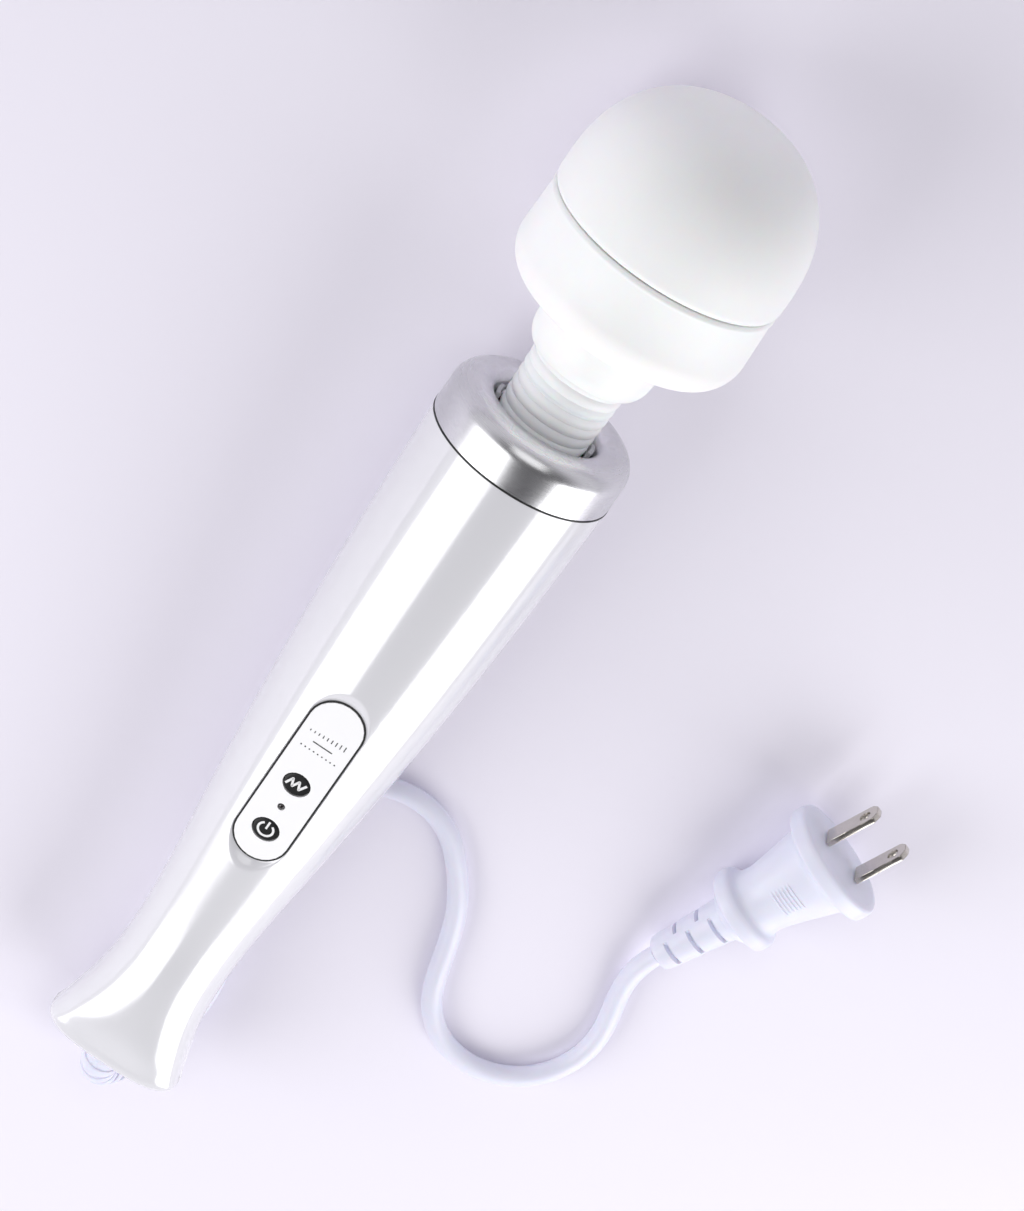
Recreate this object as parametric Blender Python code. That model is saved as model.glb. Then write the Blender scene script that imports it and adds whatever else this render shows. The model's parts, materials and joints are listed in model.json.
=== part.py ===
"""Corded wand massager: a tapered handle with two keys, a sprung neck and a round head.

All sizes are in millimetres and become metres where a mesh is made. The wand is modelled in its
own frame: Y runs along its axis from the cord end to the head, Z comes out of the control panel
and X is to its right. Empties then lay the wand on its side on the floor, with the flare of the
handle and the edge of the head touching Z = 0 and the middle of its box on the origin. The lead
and its plug lie on the same floor.
"""

import math

import bmesh
import bpy
import numpy as np
from mathutils import Matrix, Vector

MM = 0.001
GAP = 0.3                      # what neighbouring pieces keep between them
FULL = 2 * math.pi

# Driving dimensions
LENGTH = 300.0                 # cord end to the top of the head
HEAD_R = 31.0
HANDLE_R = 24.5                # handle at the collar
FLARE_R = 19.0                 # handle at the cord end
WALL = 2.4
COLLAR_START = 199.0
COLLAR_TOP = 212.0
NECK_PIVOT = 220.0             # the neck bends about this point of the axis
HEAD_START = 239.0
GROOVE_AT = 263.6              # seam between the head's lower cover and its cap
ROLL = math.radians(-15)       # the panel faces up and a little to the left as the wand lies
ROUND = 48                     # sides of the large round pieces: two of them make up the roll
SMALL = 24

LIP = 3.0                      # rounding of the flared end
FLAT_FROM = 36.0               # from here to the flared end, the front of the handle gets flatter
FLAT_DEPTH = 0.55              # depth of its front at the very end, as a share of a round one
FLAT_POWER = 3.0               # and the power of its section there, 2 being an ellipse
STATIONS = [(3, 19.0), (8, 17.5), (15, 15.8), (25, 14.35), (36, 14.0), (55, 15.1), (80, 17.6),
            (110, 20.3), (150, 22.9), (198.7, 24.5)]    # (along the axis, radius of the handle)

PANEL_Y = 102.0                # middle of the control panel
PANEL_SINK = 1.75              # floor of the recess below the handle's surface
PANEL_SIZE = (14.2, 51.0)
RECESS_SIZE = (16.6, 59.0)     # at the handle's surface; the floor is smaller, so the sides slope
RECESS_DRAFT = (1.2, 6.4)
PANEL_TOP = 0.25               # height of the panel's face over the recess floor
PANEL_PLATE = 1.25
PANEL_DEPTH = 3.05
KEY_SIZE = (6.8, 6.0)
POWER_KEY_Y = -16.6            # from the middle of the panel
MODE_KEY_Y = -1.0
LAMP_Y = -8.7
KEY_FACE = PANEL_TOP - 0.05
KEY_FLANGE_TOP = PANEL_TOP - PANEL_PLATE - GAP
KEY_END = -3.2
BOARD_TOP = -6.0
BOARD = (16.0, 48.0, 1.6)
SWITCH_TOP = -3.8              # 0.6 under the keys, which travel 0.5

SCREWS_AT = (66.0, 134.5)
SCREW_R = 1.2
SCREW_HEAD_R = 2.8
WELL_R = 3.1
BOSS_R = 4.6

CAP_R = 15.3
CAP_HOLE_R = 6.4
CLAMP = (13.0, 6.0, 9.0)
CLAMP_Y = 17.0
INNER_LEAD = (10.5, 58.0)      # the stretch of the lead inside the handle
MODULE = (18.0, 22.0, 11.0)    # the supply's block of parts
MODULE_AT = (0.0, 98.0, -3.5)
CAPACITOR = (5.0, 112.0, 126.0)

MOTOR_R = 17.5
MOTOR_START = 143.0
MOTOR_END = 186.0
SHAFT_R = 1.6

LEAD_R = 2.75
GUARD_BEND_R = 9.5             # the guard's middle line turns at this radius
GUARD_BEND = math.radians(158)
GUARD_YAW = math.radians(15)   # the guard leaves the handle a little to the left
GUARD_DROP = math.radians(45)  # and turns right and down in a plane at this slope
GUARD_ROOT = 5.2
GUARD_TIP = 3.9
GUARD_RIBS = 7

PLUG_AT = (111.7, -63.4, 5.95)
PLUG_YAW = math.radians(67)
PLUG_PITCH = math.radians(8.9)
PLUG_ROLL = math.radians(6)
PLUG_FACE = 56.0               # from the start of the plug's own guard
BLADE = (1.5, 15.4, 6.3)
BLADE_SPACING = 12.7

# The lead on the floor, from the handle's guard to the plug, chosen by hand
LEAD_ROUTE = [(15.3, -148.1, 3.4), (18.0, -136.5, 2.8), (16.8, -121.7, 2.8), (13.5, -107.4, 2.8),
              (9.0, -95.1, 2.8), (7.7, -79.3, 2.8), (15.9, -63.8, 2.8), (24.4, -58.1, 2.8),
              (35.5, -56.5, 2.8), (45.6, -60.0, 2.8), (54.2, -68.4, 2.8), (61.2, -80.1, 2.8),
              (65.4, -94.1, 2.8), (70.0, -106.9, 2.8), (77.1, -114.1, 2.8), (88.0, -117.6, 2.8),
              (100.3, -114.9, 2.8), (107.5, -108.9, 2.8), (112.6, -95.1, 2.8), (109.7, -76.2, 3.7)]
LEAD_STEP = 6.0
LEAD_GAP = 0.6                 # at both ends of the lead, whose end faces turn with its last stretch


# Materials

def material(name, colour, roughness, metallic=0.0):
    """A Principled material with one colour, given as linear red, green and blue."""
    made = bpy.data.materials.new(name)
    made.use_nodes = True
    shader = made.node_tree.nodes["Principled BSDF"]
    shader.inputs["Base Color"].default_value = (*colour, 1.0)
    shader.inputs["Roughness"].default_value = roughness
    shader.inputs["Metallic"].default_value = metallic
    return made


def materials():
    return {
        "gloss_white": material("gloss_white", (0.86, 0.86, 0.87), 0.15),
        "soft_white": material("soft_white", (0.88, 0.88, 0.88), 0.45),
        "lead_white": material("lead_white", (0.78, 0.79, 0.86), 0.4),
        "panel_white": material("panel_white", (0.85, 0.85, 0.86), 0.3),
        "key_black": material("key_black", (0.01, 0.01, 0.01), 0.35),
        "liner_black": material("liner_black", (0.02, 0.02, 0.02), 0.5),
        "clip_grey": material("clip_grey", (0.55, 0.55, 0.56), 0.5),
        "chrome": material("chrome", (0.75, 0.75, 0.76), 0.08, 1.0),
        "steel": material("steel", (0.55, 0.56, 0.58), 0.3, 1.0),
        "brass": material("brass", (0.7, 0.52, 0.25), 0.3, 1.0),
        "nickel": material("nickel", (0.66, 0.63, 0.58), 0.25, 1.0),
        "iron": material("iron", (0.3, 0.3, 0.32), 0.5, 1.0),
        "magnet": material("magnet", (0.06, 0.06, 0.065), 0.6),
        "rubber": material("rubber", (0.03, 0.03, 0.03), 0.7),
        "board_green": material("board_green", (0.02, 0.2, 0.08), 0.4),
        "part_blue": material("part_blue", (0.02, 0.05, 0.25), 0.35),
        "lamp_black": material("lamp_black", (0.015, 0.01, 0.01), 0.2),
    }


# Placing

def empty(name, parent=None, location=(0, 0, 0), rotation=None):
    """An empty at a place given in millimetres in its parent's frame."""
    made = bpy.data.objects.new(name, None)
    bpy.context.collection.objects.link(made)
    made.parent = parent
    made.location = Vector(location) * MM
    if rotation is not None:
        made.rotation_euler = rotation.to_euler()
    return made


def frame_shift(parent):
    """Where a pivot empty stands along the wand, so that its pieces can be given in the wand's frame."""
    shift = 0.0
    while parent is not None and "pivot" in parent.name:
        shift += parent.location.y / MM
        parent = parent.parent
    return shift


def solid(name, bm, look, parent, place=(0, 0, 0)):
    """The finished object: its bmesh is in millimetres, and its origin is at place."""
    bmesh.ops.remove_doubles(bm, verts=bm.verts, dist=1e-4)
    bmesh.ops.recalc_face_normals(bm, faces=bm.faces)
    bmesh.ops.translate(bm, verts=bm.verts, vec=(0, -frame_shift(parent), 0))
    bmesh.ops.scale(bm, verts=bm.verts, vec=(MM, MM, MM))
    mesh = bpy.data.meshes.new(name)
    bm.to_mesh(mesh)
    bm.free()
    mesh.shade_smooth()
    mesh.set_sharp_from_angle(angle=math.radians(35))
    made = bpy.data.objects.new(name, mesh)
    bpy.context.collection.objects.link(made)
    made.parent = parent
    made.location = Vector(place) * MM
    if look is not None:
        mesh.materials.append(look)
    return made


def boolean(target, tool, operation):
    """Applies one helper solid to a piece, and hides the helper."""
    tool.hide_render = True
    tool.display_type = "WIRE"
    step = target.modifiers.new(tool.name, "BOOLEAN")
    step.operation = operation
    step.solver = "EXACT"
    step.object = tool


# Shapes

def spun(outline, sides, axis="Y", sweep=FULL, start=0.0, closed=True, oval=1.0):
    """A bmesh turned from (along the axis, radius) points, which make a ring or run from axis to axis."""
    bm = bmesh.new()
    points = []
    for along, radius in outline:
        across = radius * math.sin(start), radius * math.cos(start)
        points.append((across[0], along, across[1]) if axis == "Y" else (radius, 0.0, along))
    verts = [bm.verts.new(point) for point in points]
    for first, second in zip(verts, verts[1:]):
        bm.edges.new((first, second))
    if closed:
        bm.edges.new((verts[-1], verts[0]))
    whole = sweep > FULL - 1e-6
    about = (0, 1, 0) if axis == "Y" else (0, 0, 1)
    bmesh.ops.spin(bm, geom=bm.verts[:] + bm.edges[:], cent=(0, 0, 0), axis=about, dvec=(0, 0, 0),
                   angle=sweep, steps=sides, use_merge=whole)
    bmesh.ops.remove_doubles(bm, verts=bm.verts, dist=1e-4)
    if not whole:
        bmesh.ops.holes_fill(bm, edges=bm.edges, sides=0)
    bmesh.ops.scale(bm, verts=bm.verts, vec=(1, oval, 1))
    return bm


def turned(name, outline, look, parent, sides=ROUND, closed=True):
    """A piece turned about the wand's axis."""
    return solid(name, spun(outline, sides, closed=closed), look, parent)


def pin(name, outline, look, parent, place=(0, 0, 0), sides=SMALL, closed=False, oval=1.0):
    """A round or oval piece turned about its own Z axis."""
    return solid(name, spun(outline, sides, "Z", closed=closed, oval=oval), look, parent, place)


def rod(radius, low, high):
    """Outline of a plain cylinder that is closed on its axis."""
    return [(low, 0), (low, radius), (high, radius), (high, 0)]


def sleeve(inner, outer, low, high):
    """Outline of a plain ring."""
    return [(low, inner), (low, outer), (high, outer), (high, inner)]


def block(name, size, centre, look, parent, place=(0, 0, 0)):
    bm = bmesh.new()
    bmesh.ops.create_cube(bm, size=1.0)
    bmesh.ops.scale(bm, verts=bm.verts, vec=size)
    bmesh.ops.translate(bm, verts=bm.verts, vec=centre)
    return solid(name, bm, look, parent, place)


def stadium(width, length, steps=8):
    """Points of an outline with straight sides and round ends, anticlockwise, longest along Y."""
    radius = width / 2
    straight = length / 2 - radius
    points = []
    for end, first in ((1, 0.0), (-1, math.pi)):
        for i in range(steps + 1):
            angle = first + math.pi * i / steps
            points.append((radius * math.cos(angle), end * straight + radius * math.sin(angle)))
    return points


def lofted(sections):
    """A bmesh skinned over rings of the same number of points, with flat ends."""
    bm = bmesh.new()
    rings = [[bm.verts.new(point) for point in section] for section in sections]
    count = len(rings[0])
    for below, above in zip(rings, rings[1:]):
        for i in range(count):
            j = (i + 1) % count
            bm.faces.new((below[i], below[j], above[j], above[i]))
    bm.faces.new(reversed(rings[0]))
    bm.faces.new(rings[-1])
    return bm


def stadium_prism(low, high, steps=8):
    """A prism between two (height, width, length) stadiums, so its sides can slope."""
    return lofted([[(x, y, level[0]) for x, y in stadium(level[1], level[2], steps)] for level in (low,
                  high)])


def smooth_curve(points, start_way, end_way, step):
    """Points about a step apart on the smooth curve (cubic, even bending) through the given ones.

    The tangents m solve h[i] m[i-1] + 2 (h[i-1] + h[i]) m[i] + h[i-1] m[i+1] = 3 (h[i] d[i-1] + h[i-1] d[i]),
    where h are the chords' lengths and d their directions; the first and the last tangent are given.
    """
    p = np.array(points, float)
    h = np.linalg.norm(np.diff(p, axis=0), axis=1)
    d = np.diff(p, axis=0) / h[:, None]
    count = len(p)
    left = np.eye(count)
    right = np.zeros_like(p)
    right[0] = start_way
    right[-1] = end_way
    for i in range(1, count - 1):
        left[i, i - 1: i + 2] = h[i], 2 * (h[i - 1] + h[i]), h[i - 1]
        right[i] = 3 * (h[i] * d[i - 1] + h[i - 1] * d[i])
    m = np.linalg.solve(left, right)
    fine = []
    for i in range(count - 1):
        t = np.linspace(0, 1, 40)[:, None]
        fine.append((2 * t**3 - 3 * t**2 + 1) * p[i] + (t**3 - 2 * t**2 + t) * h[i] * m[i]
                    + (3 * t**2 - 2 * t**3) * p[i + 1] + (t**3 - t**2) * h[i] * m[i + 1])
    fine = np.vstack(fine)
    run = np.concatenate([[0.0], np.cumsum(np.linalg.norm(np.diff(fine, axis=0), axis=1))])
    at = np.linspace(0, run[-1], max(2, round(run[-1] / step) + 1))
    return np.stack([np.interp(at, run, fine[:, k]) for k in range(p.shape[1])], axis=1)


def handle_outline(step):
    """(along, radius) points of the handle's outside, from the flare's lip to the collar."""
    return smooth_curve(STATIONS, (0.9, -0.43), (1, 0.02), step)


def handle_radius(along):
    fine = handle_outline(2.0)
    return float(np.interp(along, fine[:, 0], fine[:, 1]))


def arc(centre, size, first, last, steps):
    """Points of an elliptic arc as (along, radius); angles in degrees, from the axis' direction outwards."""
    turn = [math.radians(first + (last - first) * i / steps) for i in range(steps + 1)]
    return [(centre[0] + size[0] * math.cos(a), centre[1] + size[1] * math.sin(a)) for a in turn]


def tube(name, points, radius, look, parent, sides=2):
    """A curve object with a round section, through every given point."""
    curve = bpy.data.curves.new(name, "CURVE")
    curve.dimensions = "3D"
    curve.bevel_depth = radius * MM
    curve.bevel_resolution = sides
    curve.use_fill_caps = True
    line = curve.splines.new("POLY")
    line.points.add(len(points) - 1)
    for spot, point in zip(line.points, points):
        spot.co = (*(Vector(point) * MM), 1.0)
    curve.materials.append(look)
    made = bpy.data.objects.new(name, curve)
    bpy.context.collection.objects.link(made)
    made.parent = parent
    return made


# The head's outlines, which also settle how the wand lies

def head_dome(radius, top, steps):
    """Outline of the dome, from its widest ring to the axis: a squarish round of exponent 2.35."""
    middle = 268.0
    points = []
    for i in range(steps + 1):
        angle = math.pi / 2 * i / steps
        along = math.sin(angle) ** (2 / 2.35)
        across = math.cos(angle) ** (2 / 2.35) if i < steps else 0.0
        points.append((middle + (top - middle) * along, radius * across))
    return points


def head_edge():
    """Outside of the head's lower cover, from the skirt to the full radius."""
    return [(HEAD_START, 17.4)] + arc((249.0, 23.5), (8.8, HEAD_R - 23.5), 180, 90, 6)


def resting(first, second):
    """(slope, height) of the axis over a floor that touches both turned outlines from below."""
    slope = 0.0
    for _ in range(20):
        low = max(first, key=lambda point: point[1] - slope * point[0])
        high = max(second, key=lambda point: point[1] - slope * point[0])
        slope = (high[1] - low[1]) / (high[0] - low[0])
    tilt = math.atan(slope)
    return tilt, low[1] * math.cos(tilt) - low[0] * math.sin(tilt)


def lip_outline():
    """The rounded end of the flare, from its flat end to the full radius."""
    return arc((LIP, FLARE_R - LIP), (LIP, LIP), 180, 90, 4)


def lay_down():
    """The empties that put the wand on the floor: the tilt of its axis, then the roll about it."""
    tilt, height = resting(lip_outline(), head_edge())
    outline = lip_outline() + head_dome(HEAD_R, LENGTH, 8)
    ends = [along * math.cos(tilt) + side * radius * math.sin(tilt) for along,
            radius in outline for side in (-1, 1)]
    middle = (min(ends) + max(ends)) / 2
    laid = empty("laid", None, (0, -middle, height), Matrix.Rotation(tilt, 3, "X"))
    return empty("wand", laid, (0, 0, 0), Matrix.Rotation(ROLL, 3, "Y"))


# Handle

def shell_outline():
    """The wall of the handle, outside and inside, with a seat for the end cap and one for the collar."""
    outside = [tuple(point) for point in handle_outline(17.0)]
    inside = [(along, radius - WALL) for along, radius in outside if 20 < along < 190]
    end = COLLAR_START - GAP
    return (lip_outline() + outside[1:] + [(end, 22.1), (192.0, 22.1)] + inside[::-1]
            + [(12, 12.8), (3.6, 12.8), (3.6, 15.6), (0.0, 15.6)])


def flatten_front(bm, from_radius=0.0):
    """Flattens the front of a turned piece towards the flared end: a ring's depth z becomes
    f r (1 - |x/r|^n)^(1/n), where f falls from 1 to FLAT_DEPTH and n grows from 2 to FLAT_POWER."""
    for vert in bm.verts:
        x, along, z = vert.co
        radius = math.hypot(x, z)
        if z > 0 and along < FLAT_FROM and radius > from_radius:
            share = min(1.0, (FLAT_FROM - along) / (FLAT_FROM - LIP)) ** 2
            power = 2 + (FLAT_POWER - 2) * share
            depth = 1 - (1 - FLAT_DEPTH) * share
            vert.co.z = depth * radius * max(0.0, 1 - min(1.0, abs(x) / radius) ** power) ** (1 / power)
    return bm


def half_shell(name, look, wand, middle):
    """One half of the handle; each stops half a degree short of the joint between them."""
    sweep = math.radians(179)
    shape = spun(shell_outline(), ROUND // 2, sweep=sweep, start=middle - sweep / 2)
    return solid(name, flatten_front(shape), look, wand)


def screw_column(name, wand, along, outer, boss, hole, target):
    """A boss with a hole in it, as two helpers on a shell; boss and hole are (low, high) along Z."""
    place = (0, along, 0)
    boolean(target, pin(name + "_boss", rod(outer, *boss), None, wand, place, 16), "UNION")
    boolean(target, pin(name + "_hole", rod(SCREW_R + GAP, *hole), None, wand, place, 12), "DIFFERENCE")


def front_shell(looks, wand, panel):
    shell = half_shell("front_shell", looks["gloss_white"], wand, 0.0)
    width, length = RECESS_SIZE
    floor = (0.0, width - RECESS_DRAFT[0], length - RECESS_DRAFT[1])
    high = (4 * PANEL_SINK, width + 3 * RECESS_DRAFT[0], length + 3 * RECESS_DRAFT[1])
    boolean(shell, solid("recess_tool", stadium_prism(floor, high, 12), None, panel), "DIFFERENCE")
    hole = [size + 2 * GAP for size in PANEL_SIZE]
    window = stadium_prism((-9.0, *hole), (2.0, *hole), 12)
    boolean(shell, solid("window_tool", window, None, panel), "DIFFERENCE")
    for number, along in enumerate(SCREWS_AT, 1):
        top = handle_radius(along) - WALL / 2
        screw_column(f"front_{number}", wand, along, BOSS_R - 1, (1.0, top), (0.0, top - 1.5), shell)
    return shell


def rear_shell(looks, wand):
    shell = half_shell("rear_shell", looks["gloss_white"], wand, math.pi)
    for number, along in enumerate(SCREWS_AT, 1):
        radius = handle_radius(along)
        screw_column(f"rear_{number}", wand, along, BOSS_R, (WALL / 2 - radius, -0.5), (-radius, 1.0), shell)
        well = pin(f"well_{number}", rod(WELL_R, -radius - 2, 4 - radius), None, wand, (0, along, 0), 16)
        boolean(shell, well, "DIFFERENCE")
    return shell


def screws(looks, wand):
    for number, along in enumerate(SCREWS_AT, 1):
        seat = 4 - handle_radius(along) - GAP
        outline = [(seat - 1.6, 0), (seat - 1.6, SCREW_HEAD_R), (seat, SCREW_HEAD_R), (seat, SCREW_R),
                   (9.0, SCREW_R),
                   (10.0, 0)]
        pin(f"shell_screw_{number}", outline, looks["steel"], wand, (0, along, 0), 12)
        low = seat - 1.6 - GAP
        pin(f"screw_plug_{number}", rod(WELL_R - GAP, 0.2 - handle_radius(along), low),
            looks["gloss_white"], wand,
            (0, along, 0), 16)


def collar_outline():
    """The polished ring: an outside wall, a round shoulder, a top that falls to the opening, a spigot."""
    shoulder = arc((206.6, HANDLE_R - 5.4), (COLLAR_TOP - 206.6, 5.4), 90, 0, 4)
    return ([(COLLAR_START, 21.8), (COLLAR_START, HANDLE_R)] + shoulder
            + [(211.6, 17.0), (210.8, 15.2), (210.0, 14.3), (209.0, 14.1), (203.0, 14.1),
               (203.0, 19.6), (193.0, 19.6), (193.0, 21.8)])


def neck_fittings(looks, wand):
    turned("collar_ring", collar_outline(), looks["chrome"], wand)
    spigot = 19.3
    socket = [(187.5, 3.6), (187.5, spigot), (190.2, spigot), (190.2, 13.8), (206.2, 13.8), (206.2, 12.4),
              (198.6, 12.4), (198.6, 3.6)]
    turned("neck_socket", socket, looks["liner_black"], wand, SMALL)
    turned("neck_ring", sleeve(12.5, 13.8, 206.5, 207.6), looks["soft_white"], wand, SMALL)
    for side, middle in (("left", -math.pi / 2), ("right", math.pi / 2)):
        sweep = math.radians(26)
        clip = spun(sleeve(12.5, 13.7, 207.9, 210.0), 4, sweep=sweep, start=middle - sweep / 2)
        solid(f"neck_clip_{side}", clip, looks["clip_grey"], wand)


def handle_end(looks, wand):
    """The cap in the flared end, and behind it the clamp that takes the lead's pull."""
    cap = flatten_front(spun(sleeve(CAP_HOLE_R, CAP_R, 1.0, 3.3), ROUND), from_radius=CAP_HOLE_R + 1)
    solid("end_cap", cap, looks["gloss_white"], wand)
    clamp = block("cord_clamp", CLAMP, (0, CLAMP_Y, 0), looks["clip_grey"], wand)
    hole = spun(rod(LEAD_R + GAP, CLAMP_Y - CLAMP[1], CLAMP_Y + CLAMP[1]), SMALL, closed=False)
    boolean(clamp, solid("clamp_tool", hole, None, wand), "DIFFERENCE")
    turned("inner_lead", rod(LEAD_R, INNER_LEAD[0], INNER_LEAD[1]), looks["lead_white"], wand, 16,
           closed=False)


# Control panel: these pieces are given in the panel's frame, whose Z = 0 is the recess floor

def control_panel(looks, panel):
    width, length = PANEL_SIZE
    under = PANEL_TOP - PANEL_DEPTH
    plate = solid("control_panel", stadium_prism((under, width, length), (PANEL_TOP, width, length), 12),
                  looks["panel_white"], panel)
    inside = [size - 2.4 for size in PANEL_SIZE]
    pocket = stadium_prism((under - 1, *inside), (PANEL_TOP - PANEL_PLATE, *inside), 12)
    boolean(plate, solid("pocket_tool", pocket, None, panel), "DIFFERENCE")
    oval = KEY_SIZE[1] / KEY_SIZE[0]
    key_hole = KEY_SIZE[0] / 2 + GAP
    holes = (("power", POWER_KEY_Y, key_hole, oval), ("mode", MODE_KEY_Y, key_hole, oval), ("lamp", LAMP_Y, 1.0, 1.0))
    for name, along, radius, squash in holes:
        tool = pin(f"{name}_tool", rod(radius, -3, 2), None, panel, (0, along, 0), SMALL, oval=squash)
        boolean(plate, tool, "DIFFERENCE")


def keys(looks, panel):
    """The two oval keys; each has a flange that keeps it behind the panel and a stem to its switch."""
    radius = KEY_SIZE[0] / 2
    for name, along in (("power_button", POWER_KEY_Y), ("mode_button", MODE_KEY_Y)):
        outline = [(KEY_FACE, 0), (KEY_FACE, radius - 0.2), (KEY_FACE - 0.2, radius), (KEY_FLANGE_TOP,
                   radius),
                   (KEY_FLANGE_TOP, radius + 0.9), (KEY_FLANGE_TOP - 0.8,
                                                    radius + 0.9), (KEY_FLANGE_TOP - 0.8, 1.5),
                   (KEY_END, 1.5), (KEY_END, 0)]
        pin(name, outline, looks["key_black"], panel, (0, along, 0), SMALL, oval=KEY_SIZE[1] / KEY_SIZE[0])


def board_parts(looks, panel):
    block("circuit_board", BOARD, (0, 0, BOARD_TOP - BOARD[2] / 2), looks["board_green"], panel)
    for name, along in (("power_switch", POWER_KEY_Y), ("mode_switch", MODE_KEY_Y)):
        body = 1.5
        switch = block(name, (4.5, 4.5, body), (0, 0, BOARD_TOP + GAP + body / 2), looks["steel"], panel,
                       (0, along, 0))
        plunger = rod(1.0, BOARD_TOP + GAP + body / 2, SWITCH_TOP)
        boolean(switch, pin(f"{name}_plunger", plunger, None, panel, (0, along, 0), 12), "UNION")
    pin("indicator_led", rod(0.8, BOARD_TOP + GAP, -3.4), looks["lamp_black"], panel, (0, LAMP_Y, 0), 12)
    pin("led_lens", rod(0.7, -2.2, KEY_FACE), looks["lamp_black"], panel, (0, LAMP_Y, 0), 12)


def supply(looks, wand):
    block("power_module", MODULE, MODULE_AT, looks["part_blue"], wand)
    turned("capacitor", rod(*CAPACITOR), looks["part_blue"], wand, 16, closed=False)


# Motor

def motor(looks, wand):
    inside = MOTOR_R - 1.2
    can = [(MOTOR_START, inside), (MOTOR_START, MOTOR_R), (MOTOR_END - 1, MOTOR_R), (MOTOR_END, MOTOR_R - 1),
           (MOTOR_END, 2.2), (MOTOR_END - 1.5, 2.2), (MOTOR_END - 1.5, inside)]
    turned("motor_can", can, looks["steel"], wand, SMALL)
    turned("motor_end_cap", sleeve(2.2, inside - GAP, MOTOR_START - 1, MOTOR_START + 2.5),
           looks["liner_black"],
           wand, SMALL)
    for name, low, outer in (("motor_mount_rear", 146.0, 19.4), ("motor_mount_front", 176.0, 20.8)):
        turned(name, sleeve(MOTOR_R + GAP, outer, low, low + 6), looks["rubber"], wand, SMALL)
    for side, middle in (("left", -math.pi / 2), ("right", math.pi / 2)):
        sweep = math.radians(120)
        magnet = spun(sleeve(12.0, inside - GAP, 150, 178), 8, sweep=sweep, start=middle - sweep / 2)
        solid(f"motor_magnet_{side}", magnet, looks["magnet"], wand)
    armature = [(140.5, 0), (140.5, SHAFT_R), (148, SHAFT_R), (148, 4), (152, 4), (152, 11), (176, 11),
                (176, SHAFT_R),
                (190.5, SHAFT_R), (190.5, 0)]
    turned("motor_armature", armature, looks["iron"], wand, SMALL, closed=False)
    coupling = [(190.8, 0), (190.8, SHAFT_R + 0.15), (188.2, SHAFT_R + 0.15), (188.2, 3.2), (198.2, 3.2),
                (198.2, 0)]
    turned("shaft_coupling", coupling, looks["brass"], wand, 16, closed=False)
    turned("flex_shaft", rod(1.9, 198.5, 238.0), looks["steel"], wand, 12, closed=False)


# Neck

def neck_sleeve(looks, wand):
    """The ribbed sleeve: it widens from 11.9 to 13 and its ribs stand 0.45 proud."""
    low, high, pitch = 204.6, 236.0, 3.9
    ribs = round((high - low) / pitch)
    outside = []
    for i in range(2 * ribs + 1):
        along = low + (high - low) * i / (2 * ribs)
        outside.append((along, 11.45 + 1.05 * (along - low) / (high - low) + 0.45 * (i % 2)))
    turned("neck_sleeve", outside + [(high, 10.3), (low, 10.3)], looks["soft_white"], wand, SMALL)


def neck_spring(looks, wand):
    low, high, turns, per_turn = 200.0, 236.4, 7, 8
    coil = []
    for i in range(turns * per_turn + 1):
        angle = FULL * i / per_turn
        along = low + (high - low) * i / (turns * per_turn)
        coil.append((8.9 * math.sin(angle), along, 8.9 * math.cos(angle)))
    tube("neck_spring", coil, 0.8, looks["steel"], wand, 1)


def neck(looks, wand, neck_pivot):
    neck_sleeve(looks, wand)
    neck_spring(looks, wand)
    turned("neck_guide", sleeve(2.6, 7.0, NECK_PIVOT - 2, NECK_PIVOT + 2), looks["soft_white"],
           neck_pivot, SMALL)


# Head

def head(looks, head_pivot):
    skirt = [(226.8, 13.4), (227.2, 14.4), (229.0, 15.8), (231.0, 16.3), (HEAD_START - GAP, 17.0),
             (HEAD_START - GAP, 11.6), (236.6, 11.6), (236.6, 13.4)]
    turned("head_skirt", skirt, looks["soft_white"], head_pivot, SMALL)
    turned("head_hub", [(238.3, 3.3), (238.3, 11.2), (243.0, 11.2), (243.0, 3.3)], looks["liner_black"],
           head_pivot, SMALL)
    cover = head_edge() + [(GROOVE_AT - 0.9, HEAD_R), (GROOVE_AT - 0.2, HEAD_R - 0.6), (GROOVE_AT - 0.2,
                           HEAD_R - 3),
                           (250, HEAD_R - 3), (244.2, 23.5), (242.0, 17.4)]
    turned("head_lower_cover", cover, looks["soft_white"], head_pivot)
    outside = [(GROOVE_AT + 0.2, HEAD_R - 0.6), (GROOVE_AT + 0.9, HEAD_R)] + head_dome(HEAD_R, LENGTH, 8)
    inside = head_dome(HEAD_R - 3, LENGTH - 3, 5)[::-1] + [(GROOVE_AT + 0.2, HEAD_R - 3)]
    turned("head_cap", outside + inside, looks["soft_white"], head_pivot, closed=True)


def head_drive(looks, head_pivot):
    """The rigid core of the head and what turns in it."""
    core = [(243.3, 6.4), (243.3, 16.8), (245.6, 20.5), (285.0, 20.5), (285.0, 18.5), (248.6, 18.5),
            (248.6, 6.4)]
    turned("head_core", core, looks["clip_grey"], head_pivot, SMALL)
    lid = [(285.3, 8.8), (281.0, 8.8), (281.0, 6.4), (286.6, 6.4), (286.6, 2.9), (288.4, 2.9), (288.4,
           20.5), (285.3, 20.5)]
    turned("core_lid", lid, looks["clip_grey"], head_pivot, SMALL)
    for name, low in (("lower_bearing", 244.0), ("upper_bearing", 282.0)):
        turned(name, sleeve(2.65, 6.1, low, low + 4), looks["steel"], head_pivot, SMALL)
    turned("eccentric_shaft", rod(2.5, 238.4, 287.0), looks["steel"], head_pivot, 16, closed=False)
    weight = spun(sleeve(2.8, 15.5, 255, 276), 14, sweep=math.radians(170), start=math.radians(-85))
    solid("eccentric_weight", weight, looks["brass"], head_pivot)


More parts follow.
